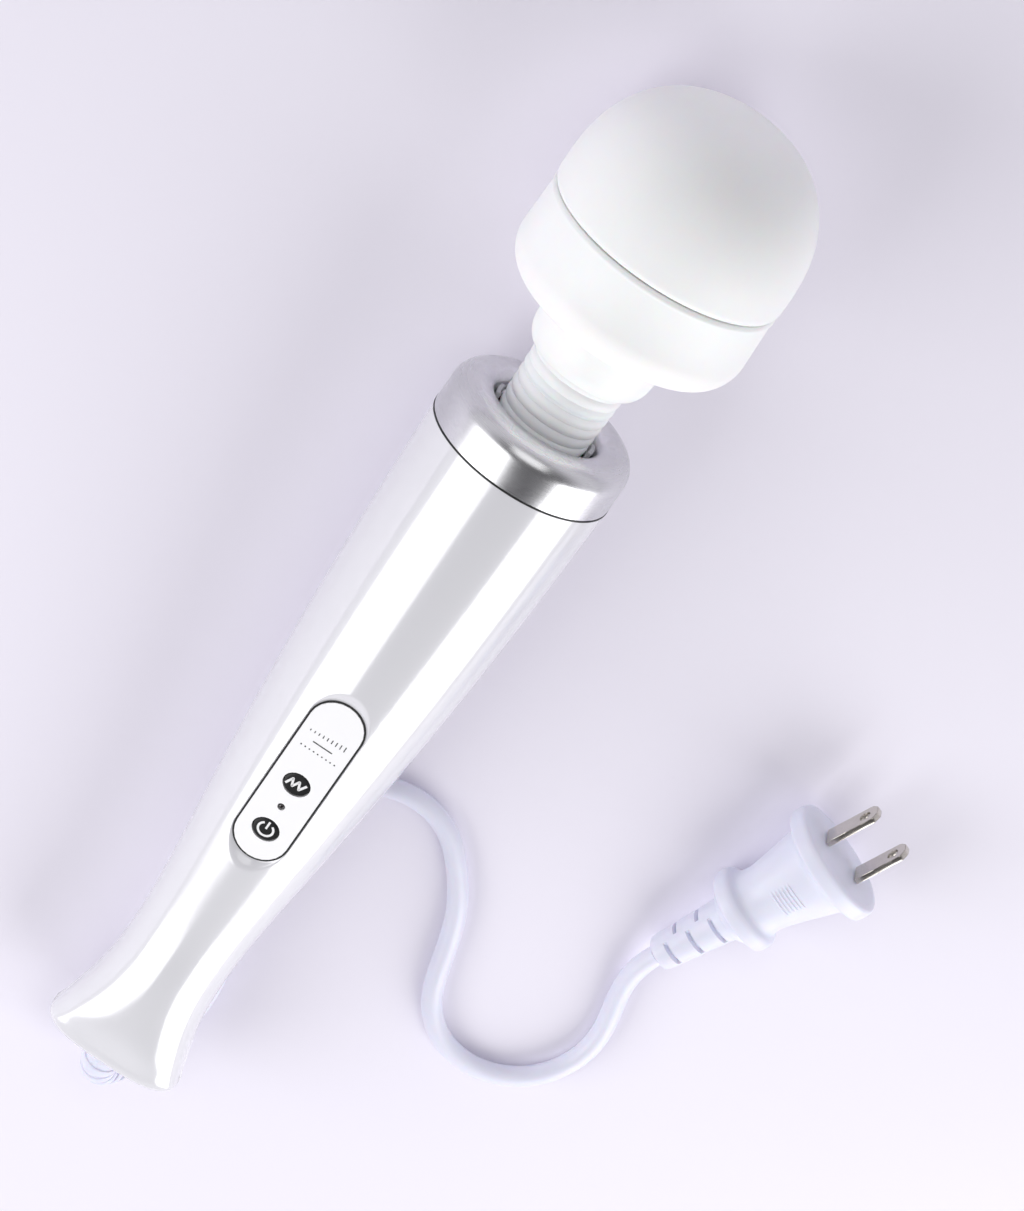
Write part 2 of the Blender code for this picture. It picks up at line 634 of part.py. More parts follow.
# Cord guard and lead

def guard_frame():
    """The ways that the guard leaves in, and turns to, in the frame of the laid wand's axis."""
    leave = Vector((-math.sin(GUARD_YAW), -math.cos(GUARD_YAW), 0))
    turn = Vector((math.cos(GUARD_DROP), 0, -math.sin(GUARD_DROP)))
    turn = (turn - turn.dot(leave) * leave).normalized()
    return leave, turn


def guard_point(run):
    """(place, direction) on the guard's middle line: straight inside the handle, then an arc."""
    leave, turn = guard_frame()
    if run <= 0:
        return leave * run, leave
    angle = run / GUARD_BEND_R
    place = GUARD_BEND_R * ((1 - math.cos(angle)) * turn + math.sin(angle) * leave)
    return place, turn * math.sin(angle) + leave * math.cos(angle)


def guard_sections():
    """(run, radius) down the guard: a root flange, a plain neck, then ribs that get smaller."""
    length = GUARD_BEND_R * GUARD_BEND
    sections = [(-7.8, 7.0), (-6.4, 7.0), (-6.4, 4.8), (0.6, 4.8)]
    pitch = (length - 0.6) / GUARD_RIBS
    for rib in range(GUARD_RIBS):
        start = 0.6 + rib * pitch
        radius = GUARD_ROOT + (GUARD_TIP - GUARD_ROOT) * rib / (GUARD_RIBS - 1)
        sections += [(start, radius), (start + 0.62 * pitch, radius)]
        if rib < GUARD_RIBS - 1:
            sections += [(start + 0.62 * pitch, radius - 0.8), (start + pitch, radius - 0.8)]
    return sections


def cord_guard(looks, laid, sides=12):
    rings = []
    _, turn = guard_frame()
    flat = guard_frame()[0].cross(turn)
    for run, radius in guard_sections():
        place, way = guard_point(run)
        side = way.cross(flat)
        rings.append([place + radius * (math.cos(FULL * i / sides) * side + math.sin(FULL * i / sides) * flat)
                      for i in range(sides)])
    solid("cord_guard", lofted(rings), looks["lead_white"], laid)


def power_cord(looks, laid, plug):
    """The lead, from the end of the handle's guard to the plug's guard, in the floor's frame."""
    place, way = guard_point(GUARD_BEND_R * GUARD_BEND)
    to_floor = laid.matrix_world
    way = (to_floor.to_3x3() @ way).normalized()
    start = to_floor @ (place * MM) / MM + LEAD_GAP * way
    along = plug.matrix_world.to_3x3() @ Vector((0, 1, 0))
    end = Vector(PLUG_AT) - LEAD_GAP * along
    points = smooth_curve([start, *LEAD_ROUTE, end], way, along, LEAD_STEP)
    tube("power_cord", points, LEAD_R, looks["lead_white"], None, 2)


# Plug: these pieces are given in the plug's frame, Y towards the blades, X from blade to blade

def oval_ring(along, width, height, sides=24):
    """A ring across Y of the given half width and half height, a little squarer than an ellipse."""
    ring = []
    for i in range(sides):
        angle = -FULL * i / sides
        x, z = math.cos(angle), math.sin(angle)
        ring.append((width * math.copysign(abs(x) ** 0.9, x), along, height * math.copysign(abs(z) ** 0.9,
                    z)))
    return ring


def plug_pieces(looks, plug):
    guard = [(0, 3.8, 3.8), (1.0, 4.6, 4.6), (19.0, 5.6, 5.6), (21.7, 6.0, 6.0)]
    solid("plug_guard", lofted([oval_ring(*section) for section in guard]), looks["lead_white"], plug)
    body = [(22.0, 7.2, 7.0), (24.2, 7.5, 7.3), (24.3, 11.0, 9.4), (25.4, 11.5, 9.9), (28.2, 11.2, 9.6),
            (29.6, 9.4, 8.4),
            (32.5, 8.8, 8.0), (38.0, 9.7, 8.2), (44.0, 11.3, 8.6), (49.0, 12.3, 9.1), (50.4, 13.2,
                                                                                       9.8), (50.9, 15.9,
                                                                                              11.5),
            (52.3, 16.4, 11.9), (54.6, 16.3, 11.8), (55.7, 15.7, 11.2), (PLUG_FACE, 14.6, 10.2)]
    solid("plug_body", lofted([oval_ring(*section) for section in body]), looks["lead_white"], plug)
    for side, place in (("left", -BLADE_SPACING / 2), ("right", BLADE_SPACING / 2)):
        blade(f"blade_{side}", place, looks, plug)


def blade(name, place, looks, plug):
    """A flat contact with a rounded tip and a hole."""
    thick, long, wide = BLADE
    low = PLUG_FACE + GAP
    side = [(low, -wide / 2), (low + long - 1.6, -wide / 2), (low + long, -wide / 2 + 1.6), (low + long,
            wide / 2 - 1.6),
            (low + long - 1.6, wide / 2), (low, wide / 2)]
    sections = [[(x, y, z) for y, z in side] for x in (-thick / 2, thick / 2)]
    made = solid(name, lofted(sections), looks["nickel"], plug, (place, 0, 0))
    hole = spun(rod(1.5, -3, 3), 12, "Z", closed=False)
    bmesh.ops.rotate(hole, verts=hole.verts, cent=(0, 0, 0), matrix=Matrix.Rotation(math.pi / 2, 3, "Y"))
    bmesh.ops.translate(hole, verts=hole.verts, vec=(0, low + long - 4.0, 0))
    boolean(made, solid(f"{name}_tool", hole, None, plug, (place, 0, 0)), "DIFFERENCE")


def build():
    for old in list(bpy.data.objects):
        bpy.data.objects.remove(old)
    looks = materials()
    wand = lay_down()
    laid = wand.parent
    neck_pivot = empty("neck_pivot", wand, (0, NECK_PIVOT, 0))
    head_pivot = empty("head_pivot", neck_pivot)
    half = PANEL_SIZE[1] / 2
    rise = handle_radius(PANEL_Y + half) - handle_radius(PANEL_Y - half)
    slope = Matrix.Rotation(math.atan2(rise, PANEL_SIZE[1]), 3, "X")
    panel = empty("panel", wand, (0, PANEL_Y, handle_radius(PANEL_Y) - PANEL_SINK), slope)
    turn = Matrix.Rotation(PLUG_YAW - math.pi / 2, 3, "Z") @ Matrix.Rotation(PLUG_PITCH, 3, "X")
    plug = empty("plug", None, PLUG_AT, turn @ Matrix.Rotation(-PLUG_ROLL, 3, "Y"))
    bpy.context.view_layer.update()

    front_shell(looks, wand, panel)
    rear_shell(looks, wand)
    screws(looks, wand)
    neck_fittings(looks, wand)
    handle_end(looks, wand)
    control_panel(looks, panel)
    keys(looks, panel)
    board_parts(looks, panel)
    supply(looks, wand)
    motor(looks, wand)
    neck(looks, wand, neck_pivot)
    head(looks, head_pivot)
    head_drive(looks, head_pivot)
    cord_guard(looks, laid)
    power_cord(looks, laid, plug)
    plug_pieces(looks, plug)


build()
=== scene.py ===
# %% [markdown]
# A corded wand massager, lying on a pale floor with its short lead and plug beside it.
#
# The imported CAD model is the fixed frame: it says where every piece is and how it moves. This
# lesson builds the looks around it. Turned pieces are profiles carried round the wand's axis, the
# lead and its guards are sections carried along a path, and the front of the handle is one sheet
# wrapped from the edge of its window out to its borders. All of them are numpy arrays of points,
# so a shape is a formula and not a list of vertices.

import json
import math

import bmesh
import bpy
import numpy as np
from mathutils import Matrix, Vector


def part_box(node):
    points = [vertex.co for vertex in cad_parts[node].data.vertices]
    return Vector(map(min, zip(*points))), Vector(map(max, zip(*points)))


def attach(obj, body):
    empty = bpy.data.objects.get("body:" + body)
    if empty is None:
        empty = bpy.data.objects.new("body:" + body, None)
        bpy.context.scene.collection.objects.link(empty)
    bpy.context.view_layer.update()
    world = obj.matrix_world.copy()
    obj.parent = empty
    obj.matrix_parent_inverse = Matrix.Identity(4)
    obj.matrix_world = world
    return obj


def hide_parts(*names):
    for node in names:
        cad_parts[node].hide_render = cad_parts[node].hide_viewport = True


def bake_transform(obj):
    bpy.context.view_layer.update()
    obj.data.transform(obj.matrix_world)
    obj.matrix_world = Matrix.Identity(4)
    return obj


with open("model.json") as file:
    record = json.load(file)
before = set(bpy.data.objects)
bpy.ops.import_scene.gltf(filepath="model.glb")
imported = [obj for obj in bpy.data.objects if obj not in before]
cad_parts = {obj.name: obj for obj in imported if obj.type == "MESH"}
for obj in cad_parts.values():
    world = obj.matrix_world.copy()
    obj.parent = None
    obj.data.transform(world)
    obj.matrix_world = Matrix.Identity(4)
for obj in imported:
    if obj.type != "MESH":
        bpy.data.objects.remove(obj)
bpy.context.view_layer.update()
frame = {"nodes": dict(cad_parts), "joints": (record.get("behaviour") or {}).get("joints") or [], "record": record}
MM = 0.001
GAP = 0.3                      # what neighbouring pieces keep between them, in millimetres

# %% [markdown]
# Every size below is in millimetres, in one of four frames: the wand's (Y along its axis from the
# lead to the head, Z out of the keys), the laid wand's (the same axis, but X level), the panel's
# and the plug's. They could be typed in as matrices. Reading them from the joints and the mounts
# is safer: the joint axes already are the wand's own directions, so nothing can drift apart.

# %% The frames
joints = {joint["name"]: joint for joint in frame["joints"]}
mounts = {mount["name"]: mount for mount in frame["record"]["mounts"]}
NECK_PIVOT = 220.0             # the neck bends about this point of the axis
MARK_AT = 12.0                 # the panel's mount is this far from the middle of the panel
PANEL_TOP = 0.25               # height of the panel's face over the floor of its recess
PLUG_FACE = 56.0               # from the start of the plug's guard to the face of the plug


def unit(vector):
    return np.array(vector, float) / np.linalg.norm(vector)


def placed(points, where):
    """World points in metres of points in millimetres in a frame: its origin plus the point's share
    of each of the frame's three directions."""
    origin, ways = where
    return origin + (np.asarray(points, float) * MM) @ ways


def seen_from(points, where):
    """The reverse of placed: world points in metres, given in millimetres in a frame."""
    origin, ways = where
    return (np.asarray(points, float) - origin) @ ways.T / MM


def middle_of(node):
    return np.add(*[np.array(corner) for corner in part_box(node)]) / 2


pivot = np.array(joints["motor_spin"]["pos_m"])
along = unit(joints["motor_spin"]["axis"])
right = unit(joints["neck_nod"]["axis"])
start = pivot - NECK_PIVOT * MM * along
WAND = (start, np.array([right, along, np.cross(right, along)]))
LAID = (start, np.array([(1.0, 0.0, 0.0), along, np.cross((1.0, 0.0, 0.0), along)]))

out = unit(mounts["panel_face"]["axis"])
up = np.cross(out, right)
PANEL = (np.array(mounts["panel_face"]["pos_m"]) - (MARK_AT * up + PANEL_TOP * out) * MM,
         np.array([right, up, out]))

ahead = unit(mounts["plug_blades"]["axis"])
across = unit(middle_of("blade_right") - middle_of("blade_left"))
PLUG = (np.array(mounts["plug_blades"]["pos_m"]) - PLUG_FACE * MM * ahead,
        np.array([across, ahead, np.cross(across, ahead)]))
print("wand starts at", WAND[0].round(4), "plug starts at", PLUG[0].round(4))

# %% [markdown]
# The camera looks down on the wand from the far side of its head, almost along the panel's own
# direction, and is turned so that the head is at the top of the picture. It is far away with a
# long lens, which keeps the wand's sides nearly parallel. A camera is easiest to read as a place,
# a point that it looks at and a roll about that line.

# %% Camera
CAMERA_AT = (-0.3330, 0.4757, 1.1266)
LOOKS_AT = (0.0219, 0.0097, 0.0200)
ROLL = math.radians(173.4)
LENS = 152.9


def look_at(obj, place, target, roll=0.0):
    """Puts a camera or a light at place, facing target, turned by roll about its line of sight."""
    way = Vector(target) - Vector(place)
    turn = way.to_track_quat("-Z", "Y").to_matrix().to_4x4()
    obj.matrix_world = Matrix.Translation(place) @ turn @ Matrix.Rotation(roll, 4, "Z")


camera_data = bpy.data.cameras.new("camera")
camera_data.sensor_width = 36.0
camera_data.lens = LENS
camera = bpy.data.objects.new("camera", camera_data)
bpy.context.scene.collection.objects.link(camera)
look_at(camera, CAMERA_AT, LOOKS_AT, ROLL)
bpy.context.scene.camera = camera
print("camera", round(math.dist(CAMERA_AT, LOOKS_AT), 2), "m away")

# %% [markdown]
# Almost every piece here is one sheet of quads: a grid of points with rows and columns, which may
# close on itself one way (a tube), both ways (a ring) or neither (a plain sheet). Blender could
# spin or loft these shapes with operators. With numpy the whole grid is one array, so its faces
# are four shifted copies of the same index table, and the sign of the enclosed volume says whether
# they point outwards. A pole, where a whole row is one point, is merged afterwards.

# %% From a grid to a mesh
SHARP = math.radians(38)       # edges that bend more than this stay sharp
MERGE = 1e-7                   # metres between points that are one


def skin(name, grid, rings=False, tube=True, inside=None):
    """A mesh piece over a (rows, columns, 3) grid of world points in metres.

    rings closes the last row on the first, tube closes the last column on the first. The faces
    point away from inside, or out of the enclosed volume: the sum over the quads a b c d of
    a . (b x c) + a . (c x d) is positive when they do.
    """
    rows, columns = grid.shape[:2]
    index = np.arange(rows * columns).reshape(rows, columns)
    index = np.vstack([index, index[:1]]) if rings else index
    index = np.hstack([index, index[:, :1]]) if tube else index
    quads = np.stack([index[:-1, :-1], index[:-1, 1:], index[1:, 1:], index[1:, :-1]], axis=-1).reshape(-1, 4)
    points = grid.reshape(-1, 3)
    a, b, c, d = np.moveaxis(points[quads] - (points.mean(0) if inside is None else inside), 1, 0)
    if np.sum(a * np.cross(b, c)) + np.sum(a * np.cross(c, d)) < 0:
        quads = quads[:, ::-1]
    return meshed(name, points, quads)


def meshed(name, points, faces):
    """A mesh object from points and faces, its doubles merged, smooth but for its sharp edges."""
    mesh = bpy.data.meshes.new(name)
    mesh.from_pydata(points, [], faces)
    shape = bmesh.new()
    shape.from_mesh(mesh)
    bmesh.ops.remove_doubles(shape, verts=shape.verts, dist=MERGE)
    shape.to_mesh(mesh)
    shape.free()
    mesh.shade_smooth()
    mesh.set_sharp_from_angle(angle=SHARP)
    piece = bpy.data.objects.new(name, mesh)
    bpy.context.scene.collection.objects.link(piece)
    return piece

# %% [markdown]
# Nothing that comes out of a mould or off a lathe has a perfectly sharp corner, and a corner without
# a rounding catches no light. A Bevel modifier could round the finished meshes. Rounding the outline
# before it is turned gives the same edge with no modifier, and each corner can have its own size.

# %% Outlines


def rounded(corners, steps=5, closed=False):
    """The outline through the corners, each rounded by its last number, which is how far from the
    corner the rounding starts: there the outline follows the quadratic curve (1-t)^2 a + 2t(1-t) b
    + t^2 c from the point a before the corner b to the point c after it."""
    corners = np.array(corners, float)
    spots, reach = corners[:, :-1], corners[:, -1]
    t = np.linspace(0, 1, steps + 1)[:, None]
    line = []
    for i, corner in enumerate(spots):
        inner = closed or 0 < i < len(spots) - 1
        if not inner or reach[i] == 0:
            line.append(corner[None])
            continue
        before, after = spots[i - 1] - corner, spots[(i + 1) % len(spots)] - corner
        lengths = np.linalg.norm(before), np.linalg.norm(after)
        a = corner + before * min(reach[i] / lengths[0], 0.5)
        c = corner + after * min(reach[i] / lengths[1], 0.5)
        line.append((1 - t) ** 2 * a + 2 * t * (1 - t) * corner + t ** 2 * c)
    return np.vstack(line)


def arc(centre, size, first, last, steps):
    """Points of an elliptic arc as (along, radius), angles in degrees from the axis outwards."""
    turn = np.radians(np.linspace(first, last, steps + 1))
    return np.stack([centre[0] + size[0] * np.cos(turn), centre[1] + size[1] * np.sin(turn)], axis=1)


def run_along(line):
    """How far along the line each of its points is: the sum of the steps up to it."""
    return np.concatenate([[0.0], np.cumsum(np.linalg.norm(np.diff(line, axis=0), axis=1))])


def evenly(line, places):
    """The line's points at the distances along it that places gives for its whole length."""
    run = run_along(line)
    return np.stack([np.interp(places(run[-1]), run, column) for column in line.T], axis=1)


# %% Turned pieces and smooth curves


def turned(name, outline, where=WAND, sides=160, closed=True, shape=None):
    """A piece turned about the frame's Y axis: an (along, radius) point of the outline goes to
    (radius sin a, along, radius cos a) for a all the way round. shape may then change the grid."""
    a = np.linspace(0, 2 * np.pi, sides, endpoint=False)
    step, radius = np.asarray(outline, float).T[..., None]
    grid = np.stack([radius * np.sin(a), step + 0 * a, radius * np.cos(a)], axis=-1)
    return skin(name, placed(grid if shape is None else shape(grid), where), rings=closed)


def smooth_curve(points, first_way, last_way, step):
    """Points about a step apart on the smooth curve through the given ones: cubics whose tangents m
    solve h[i] m[i-1] + 2 (h[i-1] + h[i]) m[i] + h[i-1] m[i+1] = 3 (h[i] d[i-1] + h[i-1] d[i]), so
    that the bending is even, with h the chords' lengths and d their directions."""
    p = np.array(points, float)
    h = np.linalg.norm(np.diff(p, axis=0), axis=1)
    d = np.diff(p, axis=0) / h[:, None]
    left, right_side = np.eye(len(p)), np.zeros_like(p)
    right_side[0], right_side[-1] = first_way, last_way
    for i in range(1, len(p) - 1):
        left[i, i - 1: i + 2] = h[i], 2 * (h[i - 1] + h[i]), h[i - 1]
        right_side[i] = 3 * (h[i] * d[i - 1] + h[i - 1] * d[i])
    m = np.linalg.solve(left, right_side)
    t = np.linspace(0, 1, 60)[None, :, None]
    h = h[:, None, None]
    fine = ((2 * t**3 - 3 * t**2 + 1) * p[:-1, None] + (t**3 - 2 * t**2 + t) * h * m[:-1, None]
            + (3 * t**2 - 2 * t**3) * p[1:, None] + (t**3 - t**2) * h * m[1:, None]).reshape(-1, p.shape[1])
    return evenly(fine, lambda long: np.linspace(0, long, max(2, round(long / step) + 1)))


# %% What every piece is told


def fit(piece, look, body, slot, *nodes):
    """Gives a piece its material and the body that it moves with, and hides any nodes it replaces. slot is not
    used.
    """
    piece.data.materials.append(look)
    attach(piece, body)
    if nodes:
        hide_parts(*nodes)
    return piece


print("a turned corner of 4 steps has", len(rounded([(0, 0, 0), (1, 0, 1), (1, 1, 0)], 4)) - 2, "points")

# %% [markdown]
# Colours are picked as sRGB hex values, as a paint chart or a screen gives them, while the shader
# works in linear light, so one function turns one into the other. A node is always made the same
# way too: its settings, the values of its free inputs, and what is plugged into the others.

# %% Colours and nodes


def srgb(code):
    """Linear red, green, blue and alpha of an sRGB hex colour."""
    part = np.array([int(code[i:i + 2], 16) for i in (1, 3, 5)]) / 255
    linear = np.where(part <= 0.04045, part / 12.92, ((part + 0.055) / 1.055) ** 2.4)
    return (*linear.tolist(), 1.0)


def add(tree, kind, values=(), links=()):
    """A new node. A value is a setting of the node or of a free input; a link is (input, socket)."""
    node = tree.nodes.new("ShaderNode" + kind)
    for name, value in dict(values).items():
        if isinstance(name, str) and hasattr(node, name):
            setattr(node, name, value)
        else:
            node.inputs[name].default_value = value
    for name, socket in links:
        tree.links.new(socket, node.inputs[name])
    return node


def blank(name, values):
    """A material with one Principled shader: its node tree, the shader and the object coordinates."""
    look = bpy.data.materials.new(name)
    look.use_nodes = True
    tree = look.node_tree
    shader = tree.nodes["Principled BSDF"]
    for key, value in values.items():
        shader.inputs[key].default_value = value
    place = add(tree, "TexCoord").outputs["Object"]
    return look, tree, shader, place


def surfaced(tree, shader, wander, low, high, roughness, grain, depth):
    """Gives a shader a roughness that goes from one value to the other while wander goes from low to
    high, and a bump that follows the grain and is depth millimetres deep."""
    rough = add(tree, "MapRange", {"From Min": low, "From Max": high,
                                   "To Min": roughness[0], "To Max": roughness[1]}, [("Value", wander)])
    tree.links.new(rough.outputs["Result"], shader.inputs["Roughness"])
    bump = add(tree, "Bump", {"Strength": 1.0, "Distance": depth * MM}, [("Height", grain)])
    tree.links.new(bump.outputs["Normal"], shader.inputs["Normal"])


# %% Two families of finish
WEAR = 6.0                     # size in millimetres of the patches in which a metal's lines fade


def moulded(name, light, dark, patch, roughness, grain, depth, **values):
    """A moulded or cast plastic: two close shades in patches of the given size, a roughness that
    wanders between two values, and a grain of the given width and depth, all in millimetres."""
    look, tree, shader, place = blank(name, {key.replace("_", " "): v for key, v in values.items()})
    cloud = add(tree, "TexNoise", {"Scale": 1 / (patch * MM), "Detail": 3.0}, [("Vector", place)])
    shade = add(tree, "Mix", {"data_type": "RGBA", 6: srgb(light), 7: srgb(dark)},
                [(0, cloud.outputs["Fac"])])
    tree.links.new(shade.outputs[2], shader.inputs["Base Color"])
    fine = add(tree, "TexNoise", {"Scale": 1 / (grain * MM), "Detail": 2.0}, [("Vector", place)])
    surfaced(tree, shader, cloud.outputs["Fac"], 0.3, 0.7, roughness, fine.outputs["Fac"], depth)
    return look


def machined(name, colour, roughness, pitch, depth, where=WAND, axis="ring"):
    """A metal with fine lines a pitch apart, in millimetres: rings about the frame's Y axis, which a
    lathe leaves on walls and faces alike, or straight lines along it, which drawing a strip leaves.

    The lines are one-dimensional noise of along + radius, or of the place across the strip."""
    look, tree, shader, place = blank(name, {"Metallic": 1.0, "Base Color": srgb(colour)})
    turn = Matrix(where[1].T.tolist()).to_euler()
    local = add(tree, "Mapping", {"vector_type": "TEXTURE", "Location": where[0].tolist(), "Rotation": turn},
                [("Vector", place)])
    parts = add(tree, "SeparateXYZ", links=[(0, local.outputs[0])])
    if axis == "ring":
        flat = add(tree, "CombineXYZ", links=[(0, parts.outputs[0]), (2, parts.outputs[2])])
        radius = add(tree, "VectorMath", {"operation": "LENGTH"}, [(0, flat.outputs[0])])
        spot = add(tree, "Math", {"operation": "ADD"}, [(0, parts.outputs[1]), (1, radius.outputs["Value"])])
    else:
        spot = add(tree, "Math", {"operation": "ADD"}, [(0, parts.outputs[0]), (1, parts.outputs[2])])
    lines = add(tree, "TexNoise", {"noise_dimensions": "1D", "Scale": 1 / (pitch * MM), "Detail": 2.0},
                [("W", spot.outputs[0])])
    cloud = add(tree, "TexNoise", {"Scale": 1 / (WEAR * MM), "Detail": 2.0}, [("Vector", place)])
    worn = add(tree, "Math", {"operation": "MULTIPLY"},
               [(0, lines.outputs["Fac"]), (1, cloud.outputs["Fac"])])
    surfaced(tree, shader, worn.outputs[0], 0.1, 0.5, roughness, lines.outputs["Fac"], depth)
    return look


print("white is", srgb("#ffffff")[0], "and middle grey is", round(srgb("#808080")[0], 3), "in linear light")

# %% [markdown]
# The finishes. The handle is ABS moulded in a polished tool: bright white, with the faint waviness
# that such a moulding has and a clear gloss over it. The head and the neck are silicone: nearly the
# same white, but satin, and light goes a little way into it. The lead is soft PVC, which is always a
# little blue beside ABS. The collar is chromed: under the shine are the rings that a lathe left,
# which spread its reflections. The handle's clear gloss has a higher index than a lacquer, so that
# its reflections stand out from the white as strongly as on the real one. The lathe's lines are
# drawn 0.12 mm apart, coarser than a polished part has, so that they can be seen close up.

# %% Materials of what shows
shell_white = moulded("polished_white_abs", "#e0e0e3", "#dcdce0", 30, (0.20, 0.26), 2.4, 0.004,
                      IOR=1.52, Coat_Weight=1.0, Coat_IOR=2.1, Coat_Roughness=0.13)
head_white = moulded("satin_white_silicone", "#fbfbfa", "#f4f4f2", 22, (0.42, 0.55), 0.35, 0.008,
                     IOR=1.43, Subsurface_Weight=0.25, Subsurface_Scale=0.004, Sheen_Weight=0.08)
sleeve_white = moulded("ribbed_white_silicone", "#f9f9f9", "#efeff0", 9, (0.45, 0.60), 0.3, 0.006,
                       IOR=1.43, Subsurface_Weight=0.2, Subsurface_Scale=0.003)
panel_white = moulded("velvet_polycarbonate_film", "#fcfcfc", "#f7f7f8", 8, (0.40, 0.50), 0.18, 0.003,
                      IOR=1.58)
ring_white = moulded("white_nylon", "#ececee", "#e1e1e4", 5, (0.35, 0.50), 0.25, 0.004, IOR=1.53)
lead_white = moulded("soft_white_pvc", "#e6e7f4", "#dcdeee", 12, (0.34, 0.46), 0.4, 0.010,
                     IOR=1.54, Subsurface_Weight=0.15, Subsurface_Scale=0.003)
key_black = moulded("black_silicone_key", "#0c0c0d", "#151516", 3, (0.30, 0.45), 0.12, 0.004, IOR=1.43)
# This black is the real black nylon of the liner and the parts inside, and also painted shade: the band in the gap
# round the panel.
black_nylon_and_shade = moulded("spark_eroded_black_nylon_and_painted_shade", "#09090a", "#161617", 4, (0.45, 0.65), 0.25, 0.020,
                      IOR=1.53)
clip_grey = moulded("grey_acetal", "#b9babd", "#a6a7ab", 3, (0.28, 0.42), 0.2, 0.006, IOR=1.48)
lamp_dark = moulded("smoked_epoxy", "#16090a", "#0b0606", 2, (0.05, 0.12), 0.2, 0.001,
                    IOR=1.56, Coat_Weight=1.0)
mark_white = moulded("white_screen_ink", "#f4f4f4", "#e6e6e6", 0.8, (0.4, 0.55), 0.1, 0.004, IOR=1.5)
mark_grey = moulded("grey_screen_ink", "#2e2e30", "#3d3d40", 0.8, (0.4, 0.55), 0.1, 0.004, IOR=1.5)
collar_chrome = machined("turned_chrome_plate", "#d8d8da", (0.25, 0.32), 0.12, 0.0006)
blade_nickel = machined("drawn_nickel_plate", "#cfcac2", (0.16, 0.34), 0.10, 0.0016, PLUG, "strip")
print(len(bpy.data.materials), "materials so far")

# %% [markdown]
# The lead and its bent guard both have a round section that follows a line. A curve object with a
# bevel would do for the lead, but not for the guard, whose radius changes all the time. So one
# function puts a ring of any radius at each point of a line, square to it, and serves both.

# %% A section carried along a line


def carried(name, spots, ways, radii, up, sides, where=None):
    """Rings of the given radii round a line: at each spot, radius (cos a side + sin a over), where
    side is at right angles to the way and to up, and over to both. A point closes each end."""
    a = np.linspace(0, 2 * np.pi, sides, endpoint=False)[None, :, None]
    side = np.cross(ways, up)
    side /= np.linalg.norm(side, axis=1)[:, None]
    over = np.cross(side, ways)
    grid = spots[:, None] + radii[:, None, None] * (np.cos(a) * side[:, None] + np.sin(a) * over[:, None])
    return skin(name, grid if where is None else placed(grid, where))


def refined(outline, step):
    """The same outline, with points added wherever two of them are further apart than a step."""
    return evenly(outline, lambda long: np.union1d(run_along(outline), np.arange(0, long, step)))

# %% [markdown]
# A moulded guard keeps the lead from kinking where it leaves the handle. Its ribs get smaller towards
# the tip, so it bends more easily there. It could be modelled straight and bent with a modifier; here
# its outline is carried along a middle line that is already bent, so its ribs stay square to it.

# %% The guard at the end of the handle, and its ribs
GUARD_BEND_R = 9.5             # its middle line turns at this radius
GUARD_BEND = math.radians(158)
GUARD_YAW = math.radians(15)
GUARD_DROP = math.radians(45)
GUARD_ROOT = 5.2
GUARD_TIP = 3.9
GUARD_RIBS = 7
GUARD_FROM = 0.6               # where its first rib starts
RIB_SHARE = 0.62               # how much of the pitch is rib, the rest being groove
RIB_DEPTH = 0.8
GUARD_LENGTH = GUARD_BEND_R * GUARD_BEND

guard_out = np.array([-math.sin(GUARD_YAW), -math.cos(GUARD_YAW), 0.0])
guard_aside = np.array([math.cos(GUARD_DROP), 0.0, -math.sin(GUARD_DROP)])
guard_aside = unit(guard_aside - (guard_aside @ guard_out) * guard_out)


def guard_line(run):
    """(spots, ways) at each run along the guard: straight inside the handle, then a round bend."""
    run = np.asarray(run, float)[:, None]
    angle = np.maximum(run, 0) / GUARD_BEND_R
    bent = GUARD_BEND_R * ((1 - np.cos(angle)) * guard_aside + np.sin(angle) * guard_out)
    return bent + np.minimum(run, 0) * guard_out, guard_aside * np.sin(angle) + guard_out * np.cos(angle)


def guard_outline():
    """(run, radius, rounding): a root flange, a plain neck, then ribs that get smaller."""
    corners = [(-7.8, 0, 0), (-7.8, 7.0, 0.3), (-6.4, 7.0, 0.3), (-6.4, 4.8, 0.2), (GUARD_FROM, 4.8, 0.2)]
    pitch = (GUARD_LENGTH - GUARD_FROM) / GUARD_RIBS
    for rib in range(GUARD_RIBS):
        low = GUARD_FROM + rib * pitch
        high = low + RIB_SHARE * pitch
        radius = GUARD_ROOT + (GUARD_TIP - GUARD_ROOT) * rib / (GUARD_RIBS - 1)
        corners += [(low, radius, 0.45), (high, radius, 0.45)]
        if rib < GUARD_RIBS - 1:
            corners += [(high, radius - RIB_DEPTH, 0.2), (low + pitch, radius - RIB_DEPTH, 0.2)]
    return rounded(corners + [(high, 0, 0)], 4)


ribs = refined(guard_outline(), 0.5)
spots, ways = guard_line(ribs[:, 0])
cord_guard = carried("ribbed_cord_guard", spots, ways, ribs[:, 1], np.cross(guard_out, guard_aside), 48, LAID)
fit(cord_guard, lead_white, "handle", "lead_white", "cord_guard")
print("guard", round(GUARD_LENGTH, 1), "mm round its bend")

# %% [markdown]
# The lead is one length of soft round cable, 5.5 mm across, that leaves the guard, runs back under
# the handle's waist, lies in two loose curves on the floor and goes into the plug. It could be let
# fall with a cloth or rope simulation. Its route is the CAD model's own list of points instead, so
# the two models agree, joined by a curve that bends evenly, as a stiff round cable does.

